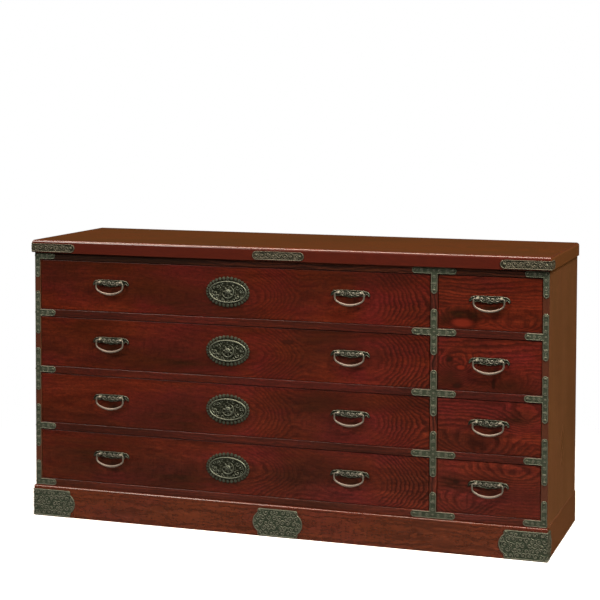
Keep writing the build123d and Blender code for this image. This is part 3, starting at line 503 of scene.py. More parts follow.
# ---- Drawer fronts ----
# Solid zelkova boards, 20 mm thick, with the boldest grain of the chest. The four long ones come
# from one log, so their cathedrals stand one above another. The short ones have knots.
SHORT_TONES = {
    "light": (0.112, 0.0136, 0.0046),
    "middle": (0.063, 0.0062, 0.0022),
    "wine": (0.090, 0.0078, 0.0072),
}
LONG_SWELLS = ((0.240, 0.450, 0.112), (-0.110, 0.070, 0.086), (-0.500, -0.240, 0.024))
LONG_FIGURES = ((-0.030, 0.000, 0.090, 0.060, -0.020),)
LEFT_STOPS = ((-0.36, 0.30), (-0.12, 0.45), (-0.05, 0.75))
RIGHT_STOPS = ((0.04, 0.65), (0.12, 0.32), (0.26, 0.35), (0.33, 0.95))
LONG_SHOWN = (-0.74, 0.33, 0.40, 1.0, LEFT_STOPS + RIGHT_STOPS)
# Dark patches of the long fronts: the first three are tone of the wood, the last three painted shadow.
LONG_PATCHES_AND_SHADOWS = (
    (-0.290, -0.040, 0.200, 0.085, 0.45),
    (0.110, 0.040, 0.120, 0.060, 0.25),
    (0.050, -0.010, 0.160, 0.110, 0.22),
    # Painted shadow under the two handles and round the medallion, where the irons cast shade.
    (-0.500, -0.016, 0.052, 0.024, 0.55),
    (0.210, -0.016, 0.052, 0.024, 0.55),
    (-0.142, -0.010, 0.090, 0.060, 0.45),
)
SHORT_FIGURES = (
    ((0.514, -0.052, 0.075, 0.045, -0.055), (0.660, -0.060, 0.120, 0.050, -0.050)),
    (
        (0.498, -0.008, 0.070, 0.050, -0.055),
        (0.506, -0.060, 0.050, 0.032, -0.030),
        (0.650, -0.060, 0.075, 0.050, -0.055),
    ),
    ((0.560, -0.070, 0.160, 0.070, -0.070), (0.690, 0.030, 0.090, 0.050, -0.035)),
    ((0.520, -0.060, 0.090, 0.055, -0.050), (0.650, 0.045, 0.130, 0.060, -0.045)),
)
PALE_HEART = (0.125, 0.0125, 0.0050)
DARK_HEART = (0.014, 0.0040, 0.0018)
SMOKY_HEART = (0.030, 0.0050, 0.0020)
SHORT_KNOTS = (
    ((0.514, -0.054, 0.052, 0.020, PALE_HEART),),
    (
        (0.479, 0.012, 0.014, 0.012, DARK_HEART),
        (0.510, -0.009, 0.022, 0.012, PALE_HEART),
        (0.501, -0.058, 0.018, 0.010, DARK_HEART),
        (0.598, -0.048, 0.006, 0.018, DARK_HEART),
    ),
    (),
    ((0.500, 0.012, 0.012, 0.008, DARK_HEART),),
)
SMOKY_KNOT = (0.026, 0.034, 0.024, 0.008, SMOKY_HEART)
LOW_KNOT = (-0.330, -0.048, 0.014, 0.006, SMOKY_HEART)
LONG_KNOTS = ((), (SMOKY_KNOT,), (), (LOW_KNOT,))
# The lowest long front is darker towards its left end.
LONG_DARK_PATCHES = ((), (), (), ((-0.570, 0.0, 0.300, 0.130, 0.45),))
SHORT_CLOUDS = (
    (
        (0.500, -0.030, 0.050, 0.022, 0.7),
        (0.463, -0.050, 0.030, 0.022, 0.8),
        (0.545, -0.034, 0.034, 0.020, 0.7),
    ),
    ((0.485, -0.026, 0.050, 0.040, 0.5), (0.640, -0.050, 0.060, 0.026, 0.4)),
    ((0.660, 0.030, 0.070, 0.030, 0.5),),
    ((0.490, 0.010, 0.060, 0.030, 0.5),),
)
# Painted shadow under the short drawer's handle.
SHORT_HANDLE_SHADOW = (0.592, -0.016, 0.052, 0.024, 0.55)
DRIFT = (0.0, 0.018, -0.014, 0.010)


def moved(marks, along, across):
    """Figures, knots or clouds shifted along and across the grain."""
    return [(mark[0] + along, mark[1] + across, *mark[2:]) for mark in marks]


BOARDS = zip(TIERS, DRIFT, LONG_KNOTS, LONG_DARK_PATCHES, SHORT_FIGURES, SHORT_KNOTS, SHORT_CLOUDS)
for tier, drift, long_knots, dark_patches, figures, short_knots, short_clouds in BOARDS:
    low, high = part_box(f"long_drawer_{tier}_front")
    middle_z = (low.z + high.z) / 2
    long_lacquer = zelkova(
        f"lacquer_long_front_{tier}",
        heart=middle_z + 0.3 * drift - 0.012,
        shift=(0.05 * tier, 0.21 * tier, 0.012 * tier),
        figures=moved(LONG_FIGURES, drift, middle_z),
        swells=[(start + drift, end + drift, height) for start, end, height in LONG_SWELLS],
        knots=moved(long_knots, 0.0, middle_z),
        clouds=moved((*LONG_PATCHES_AND_SHADOWS, *dark_patches), 0.0, middle_z),
        shown=LONG_SHOWN,
        ring=0.0098,
        ring_depth=0.9,
    )
    dress(f"long_drawer_{tier}_front", long_lacquer)
    short_lacquer = zelkova(
        f"lacquer_short_front_{tier}",
        heart=middle_z + 0.09,
        shift=(1.3 * tier, 0.37 * tier, 0.05),
        figures=moved(figures, 0.0, middle_z),
        knots=moved(short_knots, 0.0, middle_z),
        clouds=moved((*short_clouds, SHORT_HANDLE_SHADOW), 0.0, middle_z),
        ring_depth=0.7,
        **SHORT_TONES,
    )
    dress(f"short_drawer_{tier}_front", short_lacquer)


# ---- Plinth plates ----
# Sheet iron 2 mm thick, chased from the front with tendrils inside a raised rim, blackened and
# rubbed. Two plates are bent round the plinth's corners and one sits in the middle, all nailed on.
MM = 0.001
PLATE_GROUND = 0.9
PLATE_TOP = 2.0
PLATE_CELL = 0.85
PLATE_BULGE = 14.0
PLATE_FRONT_REACH = 132.0
PLATE_RIM = 3.2
ORNAMENT_INSET = 6.0
SEAT_INSET = 7.0
SEAT_LEVEL = 31.5
SEAT_FROM_CORNER = 14.0
ORNAMENT_LEVEL = 28.0
NAIL_SEAT = 4.4
SEAT_EDGE = 0.8
SEAT_GROOVE = 1.4
RIM_GROOVE = 1.2
BEND_INNER = 0.6
SHARP_ANGLE = 48.0


def box_mm(node):
    """Lowest and highest corner of a construction node, in millimetres."""
    low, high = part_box(node)
    return np.array(low) / MM, np.array(high) / MM


def blackened_iron(name, hollow, ground, worn, roughness=0.56, worn_from=0.45, metal=0.75):
    """Iron that is dark in the hollows and rubbed bright on the high parts.

    The attribute `raised` runs from 0 in the ground of the relief to 1 on top; on the handle plates it
    is also turned down towards the lower edge and the tips, as painted shade. Noise moves the limit of
    the wear and mottles the black skin.
    """
    material = bpy.data.materials.new(name)
    tree = tree_of(material)
    place = value_of(tree, "TexCoord", output="Object")
    raised = value_of(tree, "Attribute", output="Fac", attribute_name="raised")
    blotch = value_of(tree, "TexNoise", {"Vector": place, "Scale": 55.0, "Detail": 4.0, "Roughness": 0.6})
    grit = value_of(tree, "TexNoise", {"Vector": place, "Scale": 620.0, "Detail": 2.0})
    shifted = value_of(tree, "Math", {0: blotch, 1: 0.5, 2: raised}, operation="MULTIPLY_ADD")
    skin = node_in(tree, "ValToRGB", {0: shifted})
    stops = skin.color_ramp.elements
    stops[0].position, stops[0].color = 0.22, (*hollow, 1.0)
    stops[1].position, stops[1].color = 1.22, (*worn, 1.0)
    stops.new(0.25 + worn_from).color = (*ground, 1.0)
    specks = {"Value": grit, "From Min": 0.25, "From Max": 0.8, "To Min": 0.72, "To Max": 1.2}
    both = {0: 1.0, 6: skin.outputs[0], 7: value_of(tree, "MapRange", specks)}
    colour = value_of(tree, "Mix", both, 2, data_type="RGBA", blend_type="MULTIPLY")
    bump = value_of(tree, "Bump", {"Height": grit, "Strength": 0.25, "Distance": 0.0003})
    dull = value_of(tree, "Math", {0: blotch, 1: 0.25, 2: roughness - 0.12}, operation="MULTIPLY_ADD")
    return finished(material, {"Base Color": colour, "Roughness": dull, "Normal": bump, "Metallic": metal})


def worked_sheet(width, height, cell, inside, relief):
    """Sheet metal cut to an outline, with a relief on its face.

    A square grid covers the box of the sheet. inside(u, w) is the distance in from the outline.
    Points nearer to it than 0.7 of a cell slide along its slope until they lie on it, and squares
    with a point further out are left off. The face stands relief(u, w, distance) proud of the flat
    back, and walls close every cut edge. Returns u, w, proud and the faces.
    """
    across = np.arange(width[0] - cell, width[1] + 2 * cell, cell)
    up = np.arange(height[0] - cell, height[1] + 2 * cell, cell)
    u, w = np.meshgrid(across, up)
    distance = inside(u, w)
    outside = distance < -0.7 * cell
    near = np.abs(distance) <= 0.7 * cell
    step = 0.05 * cell
    for _ in range(4):
        distance = inside(u, w)
        slope_u = (inside(u + step, w) - inside(u - step, w)) / (2 * step)
        slope_w = (inside(u, w + step) - inside(u, w - step)) / (2 * step)
        steep = np.maximum(slope_u**2 + slope_w**2, 0.05)
        u = u - near * distance * slope_u / steep
        w = w - near * distance * slope_w / steep
    index = np.arange(u.size).reshape(u.shape)
    squares = np.stack([index[:-1, :-1], index[:-1, 1:], index[1:, 1:], index[1:, :-1]], -1).reshape(-1, 4)
    flat_u, flat_w = u.ravel(), w.ravel()
    diagonal_u = flat_u[squares[:, [2, 3]]] - flat_u[squares[:, [0, 1]]]
    diagonal_w = flat_w[squares[:, [2, 3]]] - flat_w[squares[:, [0, 1]]]
    area = 0.5 * (diagonal_u[:, 0] * diagonal_w[:, 1] - diagonal_u[:, 1] * diagonal_w[:, 0])
    whole = ~outside.ravel()[squares].any(axis=1) & (area > 0.12 * cell**2)
    used, squares = np.unique(squares[whole], return_inverse=True)
    squares = squares.reshape(-1, 4)
    u, w = flat_u[used], flat_w[used]
    count = len(used)
    starts = squares.ravel()
    ends = np.roll(squares, -1, axis=1).ravel()
    rim = ~np.isin(starts * count + ends, ends * count + starts)
    starts, ends = starts[rim], ends[rim]
    walls = np.stack([starts, starts + count, ends + count, ends], -1)
    proud = relief(u, w, np.maximum(inside(u, w), 0.0))
    faces = np.concatenate([squares, squares[:, ::-1] + count, walls])
    both = (np.concatenate([u, u]), np.concatenate([w, w]), np.concatenate([proud, np.zeros(count)]))
    return (*both, faces)


def in_place(sheet, place, ground, top):
    """Points of a worked sheet in place, its faces turned outwards, and from 0 to 1 how raised each is.

    The closed shell is inside out when its volume, the sum of signed pyramids, is negative.
    """
    u, w, proud, faces = sheet
    points = place(u, w, proud)
    corners = (points - points.mean(axis=0))[faces[:, :3]]
    volume = np.einsum("ij,ij->i", corners[:, 0], np.cross(corners[:, 1], corners[:, 2])).sum()
    faces = faces if volume > 0 else faces[:, ::-1]
    return points, faces.tolist(), (proud - ground) / (top - ground)


def joined(parts):
    """One mesh from several, each (points, faces, raised)."""
    count, faces = 0, []
    for points, part_faces, _ in parts:
        faces += [[corner + count for corner in face] for face in part_faces]
        count += len(points)
    return np.concatenate([part[0] for part in parts]), faces, np.concatenate([part[2] for part in parts])


def iron_piece(name, parts, material, node, body="case"):
    """Make one object from parts in millimetres, and seat it on its body."""
    points, faces, raised = joined(parts)
    piece = mesh_object(name, points * MM, faces, material)
    piece.data.attributes.new("raised", "FLOAT", "POINT").data.foreach_set("value", raised.astype(np.float32))
    piece.data.shade_smooth()
    piece.data.set_sharp_from_angle(angle=math.radians(SHARP_ANGLE))
    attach(piece, body)
    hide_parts(node)


def smooth_step(value, low, high):
    """0 below low, 1 above high, and an S curve between."""
    part = np.clip((value - low) / (high - low), 0.0, 1.0)
    return part * part * (3.0 - 2.0 * part)


def raised_band(distance, half_width):
    """Round-backed band: a circle's arc over a distance of half_width on either side."""
    return np.sqrt(np.clip(1.0 - (distance / half_width) ** 2, 0.0, 1.0))


def rounded_box(u, w, centre, half_width, half_height, radius):
    """Distance in from the outline of a box with round corners."""
    past_u = np.abs(u - centre[0]) - (half_width - radius)
    past_w = np.abs(w - centre[1]) - (half_height - radius)
    outer = np.hypot(np.maximum(past_u, 0.0), np.maximum(past_w, 0.0))
    return radius - outer - np.minimum(np.maximum(past_u, past_w), 0.0)


def disc(u, w, centre, radius):
    """Distance in from a circle."""
    return radius - np.hypot(u - centre[0], w - centre[1])


def tendrils(u, w, centres, radius, turns=1.25, band=0.16):
    """Height from 0 to 1 of curling tendrils.

    Round each centre a round-backed band follows an Archimedean spiral inwards, and ends in a bud.
    Neighbours curl opposite ways, and each starts at another angle.
    """
    height = np.zeros_like(u)
    for number, (centre_u, centre_w) in enumerate(centres):
        hand = 1.0 if number % 2 else -1.0
        reach = np.hypot(u - centre_u, w - centre_w)
        angle = hand * np.arctan2(w - centre_w, u - centre_u) + 2.4 * number
        pitch = radius / turns
        lap = reach / pitch - angle / (2 * np.pi)
        off_band = np.abs(lap - np.round(lap)) * pitch
        curl = raised_band(off_band, band * radius * (0.75 + 0.45 * reach / radius)) * (reach < radius)
        bud = raised_band(reach, 0.30 * radius)
        height = np.maximum(height, np.maximum(curl, bud))
    return height


def leaves(u, w, places, length, width):
    """Height from 0 to 1 of pointed leaves, each given as (u, w, direction in turns)."""
    height = np.zeros_like(u)
    for centre_u, centre_w, turn in places:
        cos, sin = math.cos(2 * math.pi * turn), math.sin(2 * math.pi * turn)
        along = ((u - centre_u) * cos + (w - centre_w) * sin) / length + 0.5
        aside = (w - centre_w) * cos - (u - centre_u) * sin
        half = 0.5 * width * np.sin(np.pi * np.clip(along, 0.0, 1.0) ** 0.7)
        blade = np.clip(1.0 - np.abs(aside) / np.maximum(half, 1e-3), 0.0, 1.0)
        vein = 1.0 - 0.45 * raised_band(aside, 0.12 * width)
        height = np.maximum(height, np.sqrt(blade) * vein)
    return height


def bent_round(corner, side, middle, proud_face):
    """Place points of a flat sheet on two faces that meet at an upright corner.

    Points with u well above 0 lie on the front face, those well below on the end face, and those
    between go round an arc whose centre lies BEND_INNER inside the corner. Also returns by how much
    the sheet's own length exceeds its reach from the corner on either face.
    """
    length = (BEND_INNER + proud_face) * math.pi / 4

    def place(u, w, proud):
        turn = np.clip((length - u) / (2 * length), 0.0, 1.0) * math.pi / 2
        past = np.maximum(np.abs(u) - length, 0.0)
        reach = BEND_INNER + proud
        x = corner[0] + side * (-BEND_INNER + reach * np.sin(turn) - past * (u > 0))
        y = corner[1] + BEND_INNER - reach * np.cos(turn) + past * (u < 0)
        return np.stack([x, y, middle + w], -1)

    return place, length - BEND_INNER


def round_corners(board, node, front_reach, proud_face):
    """For each front corner of a board: its side, how to place a sheet there, the sheet's two ends, and
    how much longer the bent sheet is than its reach."""
    board_low, board_high = box_mm(board)
    low, high = box_mm(node)
    for side, name in ((-1, "left"), (1, "right")):
        corner = (board_high[0] if side > 0 else board_low[0], board_low[1])
        place, extra = bent_round(corner, side, (low[2] + high[2]) / 2, proud_face)
        end = high[1] - low[1] - proud_face + extra
        yield name, place, -end, front_reach - proud_face + extra, extra


def facing_front(face_y, x=0.0, z=0.0):
    """Place points of a flat sheet, drawn round its own middle, on a front face."""
    return lambda u, w, proud: np.stack([u + x, face_y - proud, w + z], -1)


def chased_relief(ornament, rim_width, ground, top, seats, outer_edge=0.5):
    """Relief of a chased plate: low at the cut edge, a round rim, a groove, then the ornament.

    Around each nail the metal is left flat at full height.
    """

    def relief(u, w, distance):
        edge = ground + (top - ground) * smooth_step(distance, 0.0, outer_edge)
        rim = raised_band(distance - 0.5 * rim_width, 0.62 * rim_width)
        field = ornament(u, w) * smooth_step(distance, rim_width, rim_width + RIM_GROOVE)
        height = np.maximum(rim, field)
        for seat_u, seat_w in seats:
            near = np.hypot(u - seat_u, w - seat_w)
            kept_clear = height * smooth_step(near, NAIL_SEAT, NAIL_SEAT + SEAT_GROOVE)
            height = np.where(near < NAIL_SEAT + SEAT_GROOVE, kept_clear, height)
            height = np.maximum(height, smooth_step(-near, -NAIL_SEAT, -NAIL_SEAT + SEAT_EDGE))
        return np.minimum(edge, ground + (top - ground) * height)

    return relief


def staggered(width, height, pitch):
    """Centres in staggered rows that fill a box, each shifted a little as a hand would."""
    drift = 0.09 * pitch
    centres = []
    for row, w in enumerate(np.arange(height[0], height[1] + 0.1, 0.87 * pitch)):
        for column, u in enumerate(np.arange(width[0] + 0.5 * pitch * (row % 2), width[1] + 0.1, pitch)):
            aside, above = math.sin(5.1 * row + 2.3 * column), math.cos(3.7 * row + column)
            centres.append((u + drift * aside, w + drift * above))
    return centres


def between(centres, pitch):
    """Places of small leaves between staggered centres, each turned another way."""
    return [(u + 0.5 * pitch, w + 0.29 * pitch, 0.17 * number) for number, (u, w) in enumerate(centres)]


def plate_ornament(width, height, radius=7.6):
    pitch = 2.12 * radius
    centres = staggered(width, height, pitch)
    gaps = between(centres, pitch)

    def ornament(u, w):
        small = 0.9 * leaves(u, w, gaps, 0.9 * radius, 0.45 * radius)
        return np.maximum(tendrils(u, w, centres, radius), small)

    return ornament


def plate_outline(low_u, high_u, half_height, radius=7.0, bulge_half=26.0):
    """Distance in from a plate with round corners, whose two ends swell out in a shallow bow."""
    bow_radius = (PLATE_BULGE**2 + bulge_half**2) / (2 * PLATE_BULGE)
    middle, half = (low_u + high_u) / 2, (high_u - low_u) / 2

    def inside(u, w):
        body = rounded_box(u, w, (middle, 0.0), half, half_height, radius)
        for end in (-1, 1):
            centre = (high_u if end > 0 else low_u) - end * (bow_radius - PLATE_BULGE)
            bow = np.minimum(disc(u, w, (centre, 0.0), bow_radius), end * (u - middle))
            body = np.maximum(body, bow)
        return body

    return inside


fitting_iron = blackened_iron(
    "iron_fittings", (0.045, 0.062, 0.041), (0.100, 0.118, 0.083), (0.145, 0.150, 0.116)
)
plinth_face_y = box_mm("plinth_front_board")[0][1]
centre_low, centre_high = box_mm("plinth_centre_plate")
plate_middle = (centre_low[2] + centre_high[2]) / 2
plate_half = (centre_high[2] - centre_low[2]) / 2


def plinth_plate(name, node, place, low_u, high_u, left_inset, more_seats=()):
    """Plate from low_u to high_u, with a nail near each corner of the part between its bows."""
    outline = plate_outline(low_u + PLATE_BULGE, high_u - PLATE_BULGE, plate_half)
    seat_ends = (low_u + PLATE_BULGE + SEAT_INSET, high_u - PLATE_BULGE - SEAT_INSET)
    seats = [(u, w) for u in seat_ends for w in (-SEAT_LEVEL, SEAT_LEVEL)]
    ornament_ends = (low_u + left_inset, high_u - ORNAMENT_INSET)
    ornament = plate_ornament(ornament_ends, (-ORNAMENT_LEVEL, ORNAMENT_LEVEL))
    relief = chased_relief(ornament, PLATE_RIM, PLATE_GROUND, PLATE_TOP, [*seats, *more_seats])
    sheet = worked_sheet((low_u, high_u), (-plate_half, plate_half), PLATE_CELL, outline, relief)
    iron_piece(name, [in_place(sheet, place, PLATE_GROUND, PLATE_TOP)], fitting_iron, node)


node = "plinth_corner_plates"
for name, place, *ends, extra in round_corners("plinth_front_board", node, PLATE_FRONT_REACH, PLATE_TOP):
    by_corner = [(SEAT_FROM_CORNER + extra, 0.0), (-SEAT_FROM_CORNER - extra, 0.0)]
    plinth_plate(f"plinth_corner_plate_{name}", node, place, *ends, 8.0, by_corner)

plate_reach = (centre_high[0] - centre_low[0]) / 2
place = facing_front(plinth_face_y, 0.0, plate_middle)
plinth_plate("plinth_plate_centre", "plinth_centre_plate", place, -plate_reach, plate_reach, 7.0)


# ---- Straps of the top board ----
# Narrow straps of the same iron, with round ends and a running scroll. Two wrap the front corners of
# the top board and one is nailed on the middle of its front edge.
STRAP_TOP = 2.0
STRAP_GROUND = 0.9
STRAP_CELL = 0.8
STRAP_RIM = 2.4
STRAP_FRONT_REACH = 137.0
SCROLL_RADIUS = 8.2


def running_scroll(low_u, high_u, radius):
    """Curls in a row, each joined to the next by a stem that swings from side to side."""
    pitch = 2.05 * radius
    places = np.arange(low_u + radius, high_u - 0.6 * radius, pitch)
    centres = [(u, 0.12 * radius * (-1) ** number) for number, u in enumerate(places)]
    tips = [(u + 0.5 * pitch, side * 0.72 * radius, 0.25 + 0.08 * side) for u in places for side in (-1, 1)]

    def ornament(u, w):
        stem = raised_band(w - 0.8 * radius * np.sin(np.pi * (u - low_u) / pitch), 0.13 * radius)
        curls = tendrils(u, w, centres, radius, 1.3, 0.17)
        small = 0.9 * leaves(u, w, tips, 0.8 * radius, 0.45 * radius)
        return np.maximum(np.maximum(curls, 0.8 * stem), small)

    return ornament


strap_iron = blackened_iron(
    "iron_straps", (0.036, 0.038, 0.025), (0.078, 0.076, 0.051), (0.114, 0.106, 0.079)
)
top_face_y = box_mm("top_board")[0][1]
centre_low, centre_high = box_mm("top_centre_strap")
strap_middle = (centre_low[2] + centre_high[2]) / 2
strap_half = (centre_high[2] - centre_low[2]) / 2


def strap(name, node, place, low_u, high_u, scroll_inset, more_seats=()):
    """Strap from low_u to high_u, with a nail in the middle of each round end."""
    middle, half = (low_u + high_u) / 2, (high_u - low_u) / 2
    seats = [(low_u + strap_half, 0.0), (high_u - strap_half, 0.0), *more_seats]
    scroll = running_scroll(low_u + scroll_inset, high_u - scroll_inset, SCROLL_RADIUS)
    relief = chased_relief(scroll, STRAP_RIM, STRAP_GROUND, STRAP_TOP, seats)

    def outline(u, w):
        return rounded_box(u, w, (middle, 0.0), half, strap_half, strap_half)

    sheet = worked_sheet((low_u, high_u), (-strap_half, strap_half), STRAP_CELL, outline, relief)
    iron_piece(name, [in_place(sheet, place, STRAP_GROUND, STRAP_TOP)], strap_iron, node)


node = "top_corner_straps"
for name, place, *ends, extra in round_corners("top_board", node, STRAP_FRONT_REACH, STRAP_TOP):
    by_corner = [(strap_half + extra, 0.0), (-strap_half - extra, 0.0)]
    strap(f"top_corner_strap_{name}", node, place, *ends, 6.0, by_corner)

strap_reach = (centre_high[0] - centre_low[0]) / 2
place = facing_front(top_face_y, 0.0, strap_middle)
strap("top_strap_centre", "top_centre_strap", place, -strap_reach, strap_reach, 4.0)


# ---- Frame brackets ----
# Flat irons nailed over every joint of the front frame: L shapes in the corners, T shapes at the
# sides and crosses on the divider, 1.5 mm thick, with a rim, two cross ridges and small curls.
BRACKET_TOP = 1.5
BRACKET_GROUND = 0.75
BRACKET_CELL = 0.85
BRACKET_RIM = 1.9
BRACKET_MARGIN = 1.0
UPRIGHT_REACH = 62.0
SIDE_REACH = 56.0
DIVIDER_REACH = 61.0
CURL_FROM_TIP = 25.0
CURL_FROM_MIDDLE = 15.5
LEAF_FROM_TIP = 14.0
CURL_RADIUS = 5.0
RIDGE_AT = 0.52
RIDGE_SPACING = 3.0
RIDGE_HALF_WIDTH = 0.8
RIDGE_HALF_LENGTH = 7.0

top_rail_low, top_rail_high = box_mm("top_rail")
bottom_rail_low, bottom_rail_high = box_mm("bottom_rail")
divider_low, divider_high = box_mm("centre_divider")
right_low, right_high = box_mm("right_side_panel")
frame_face_y = right_low[1]
rail_half = (top_rail_high[2] - top_rail_low[2]) / 2 - BRACKET_MARGIN
bottom_level, top_level = (bottom_rail_low + bottom_rail_high)[2] / 2, (top_rail_low + top_rail_high)[2] / 2
rail_levels = np.linspace(bottom_level, top_level, len(TIERS) + 1)
side_x = (right_low[0] + right_high[0]) / 2
side_half = (right_high[0] - right_low[0]) / 2 - BRACKET_MARGIN
divider_x = (divider_low[0] + divider_high[0]) / 2
divider_half = (divider_high[0] - divider_low[0]) / 2 - BRACKET_MARGIN


def bracket_sheet(steps, upright_half):
    """Bracket round its own centre. Each leg is (step across, step up, reach), with a round tip."""
    legs = [(du, dw, reach, rail_half if du else upright_half) for du, dw, reach in steps]
    tips = [(du * (reach - across), dw * (reach - across)) for du, dw, reach, across in legs]

    def inside(u, w):
        shape = rounded_box(u, w, (0.0, 0.0), upright_half, rail_half, 0.3)
        for du, dw, reach, across in legs:
            half_u, half_w = (reach / 2 + 0.5 * across if step else across for step in (du, dw))
            centre = (du * (reach - half_u), dw * (reach - half_w))
            shape = np.maximum(shape, rounded_box(u, w, centre, half_u, half_w, across))
        return shape

    def ornament(u, w):
        height = 0.9 * raised_band(np.abs(u) + np.abs(w), 4.0)
        for du, dw, reach, _ in legs:
            along, aside = u * du + w * dw, u * dw - w * du
            curls = [(place * du, place * dw) for place in (reach - CURL_FROM_TIP, CURL_FROM_MIDDLE)]
            curl = tendrils(u, w, curls, CURL_RADIUS, 1.3, 0.2)
            past = along - RIDGE_AT * reach
            ridges = [raised_band(past - step, RIDGE_HALF_WIDTH) for step in (0.0, RIDGE_SPACING)]
            ridges = np.maximum(*ridges) * (np.abs(aside) < RIDGE_HALF_LENGTH) * (along > 0)
            out = reach - LEAF_FROM_TIP
            leaf = leaves(u, w, [(out * du, out * dw, math.atan2(dw, du) / (2 * math.pi))], 7.0, 5.0)
            height = np.maximum.reduce([height, curl, ridges, 0.9 * leaf])
        return height

    def furthest(du, dw, least):
        return max([leg[2] for leg in legs if leg[:2] == (du, dw)], default=least)

    width = (-furthest(-1, 0, upright_half), furthest(1, 0, upright_half))
    height = (-furthest(0, -1, rail_half), furthest(0, 1, rail_half))
    relief = chased_relief(ornament, BRACKET_RIM, BRACKET_GROUND, BRACKET_TOP, tips, 0.4)
    return worked_sheet(width, height, BRACKET_CELL, inside, relief)


for place_name, x, half, inward, reach, node in (
    ("left", -side_x, side_half, (1,), SIDE_REACH, "side_frame_brackets"),
    ("right", side_x, side_half, (-1,), SIDE_REACH, "side_frame_brackets"),
    ("divider", divider_x, divider_half, (-1, 1), DIVIDER_REACH, "divider_brackets"),
):
    parts = []
    for level, z in enumerate(rail_levels):
        legs = [(step, 0, reach) for step in inward]
        legs += [(0, 1, UPRIGHT_REACH)] if level < len(TIERS) else []
        legs += [(0, -1, UPRIGHT_REACH)] if level > 0 else []
        place = facing_front(frame_face_y, x, z)
        points, faces, raised = in_place(bracket_sheet(legs, half), place, BRACKET_GROUND, BRACKET_TOP)
        parts.append((points, faces, 0.15 + 0.85 * raised))
    iron_piece(f"brackets_{place_name}", parts, fitting_iron, node)


# ---- Medallions ----
# Cast and pierced oval plates in the middle of the long fronts: a scalloped rim with a row of holes,
# a raised oval ring, curls on a sunk ground and a flower boss inside a round ring.
MEDALLION_BASE = 1.5
MEDALLION_CELL = 0.75
GROUND_LEVEL = 0.5
WORN_LEVEL = 3.1
RING_HALF = (56.5, 31.0)
RING_BAR = 4.6
SCALLOPS = 32
SCALLOP_RADIUS = 5.0
LOBE_OVAL = (59.6, 37.7)
LOBE_RADIUS = 5.3
HOLE_RADIUS = 1.9
BOSS_RING_RADIUS = 16.8
PETALS = 7
PETAL_REACH = 11.6
FLOWER_RADIUS = 8.2
HEART_RADIUS = 2.4
HEART_GROOVE_RADIUS = 3.2
MEDALLION_NAIL_REACH = 46.0
MEDALLION_NAIL_SEAT = 3.9
medallion_iron = blackened_iron(
    "iron_medallions", (0.005, 0.009, 0.004), (0.046, 0.050, 0.033), (0.098, 0.112, 0.086), 0.54, 0.45
)


def oval(u, w, half_u, half_w):
    """Distance in from an ellipse: its equation's value divided by its slope."""
    value = np.hypot(u / half_u, w / half_w)
    slope = np.hypot(u / half_u**2, w / half_w**2) / np.maximum(value, 1e-6)
    return (1.0 - value) / np.maximum(slope, 1.0 / max(half_u, half_w))


def oval_places(half_u, half_w, count, start=0.0):
    turn = 2 * np.pi * (np.arange(count) + start) / count
    return np.stack([half_u * np.cos(turn), half_w * np.sin(turn)], -1)


def medallion_outline(half_u, half_w):
    rim_u, rim_w = half_u - SCALLOP_RADIUS, half_w - SCALLOP_RADIUS
    scallops = oval_places(rim_u, rim_w, SCALLOPS)
    holes = oval_places(rim_u - 0.4, rim_w - 2.4, SCALLOPS, 0.5)

    def inside(u, w):
        shape = oval(u, w, rim_u, rim_w)
        for centre in scallops:
            shape = np.maximum(shape, disc(u, w, centre, SCALLOP_RADIUS))
        for centre in holes:
            shape = np.minimum(shape, -disc(u, w, centre, HOLE_RADIUS))
        return shape

    return inside


def four_ways(u, w, turn=0.0):
    """A place mirrored left and right and up and down, with the turn of what lies there."""
    return [(u * mirror, w * side, turn * mirror * side) for mirror in (-1, 1) for side in (-1, 1)]


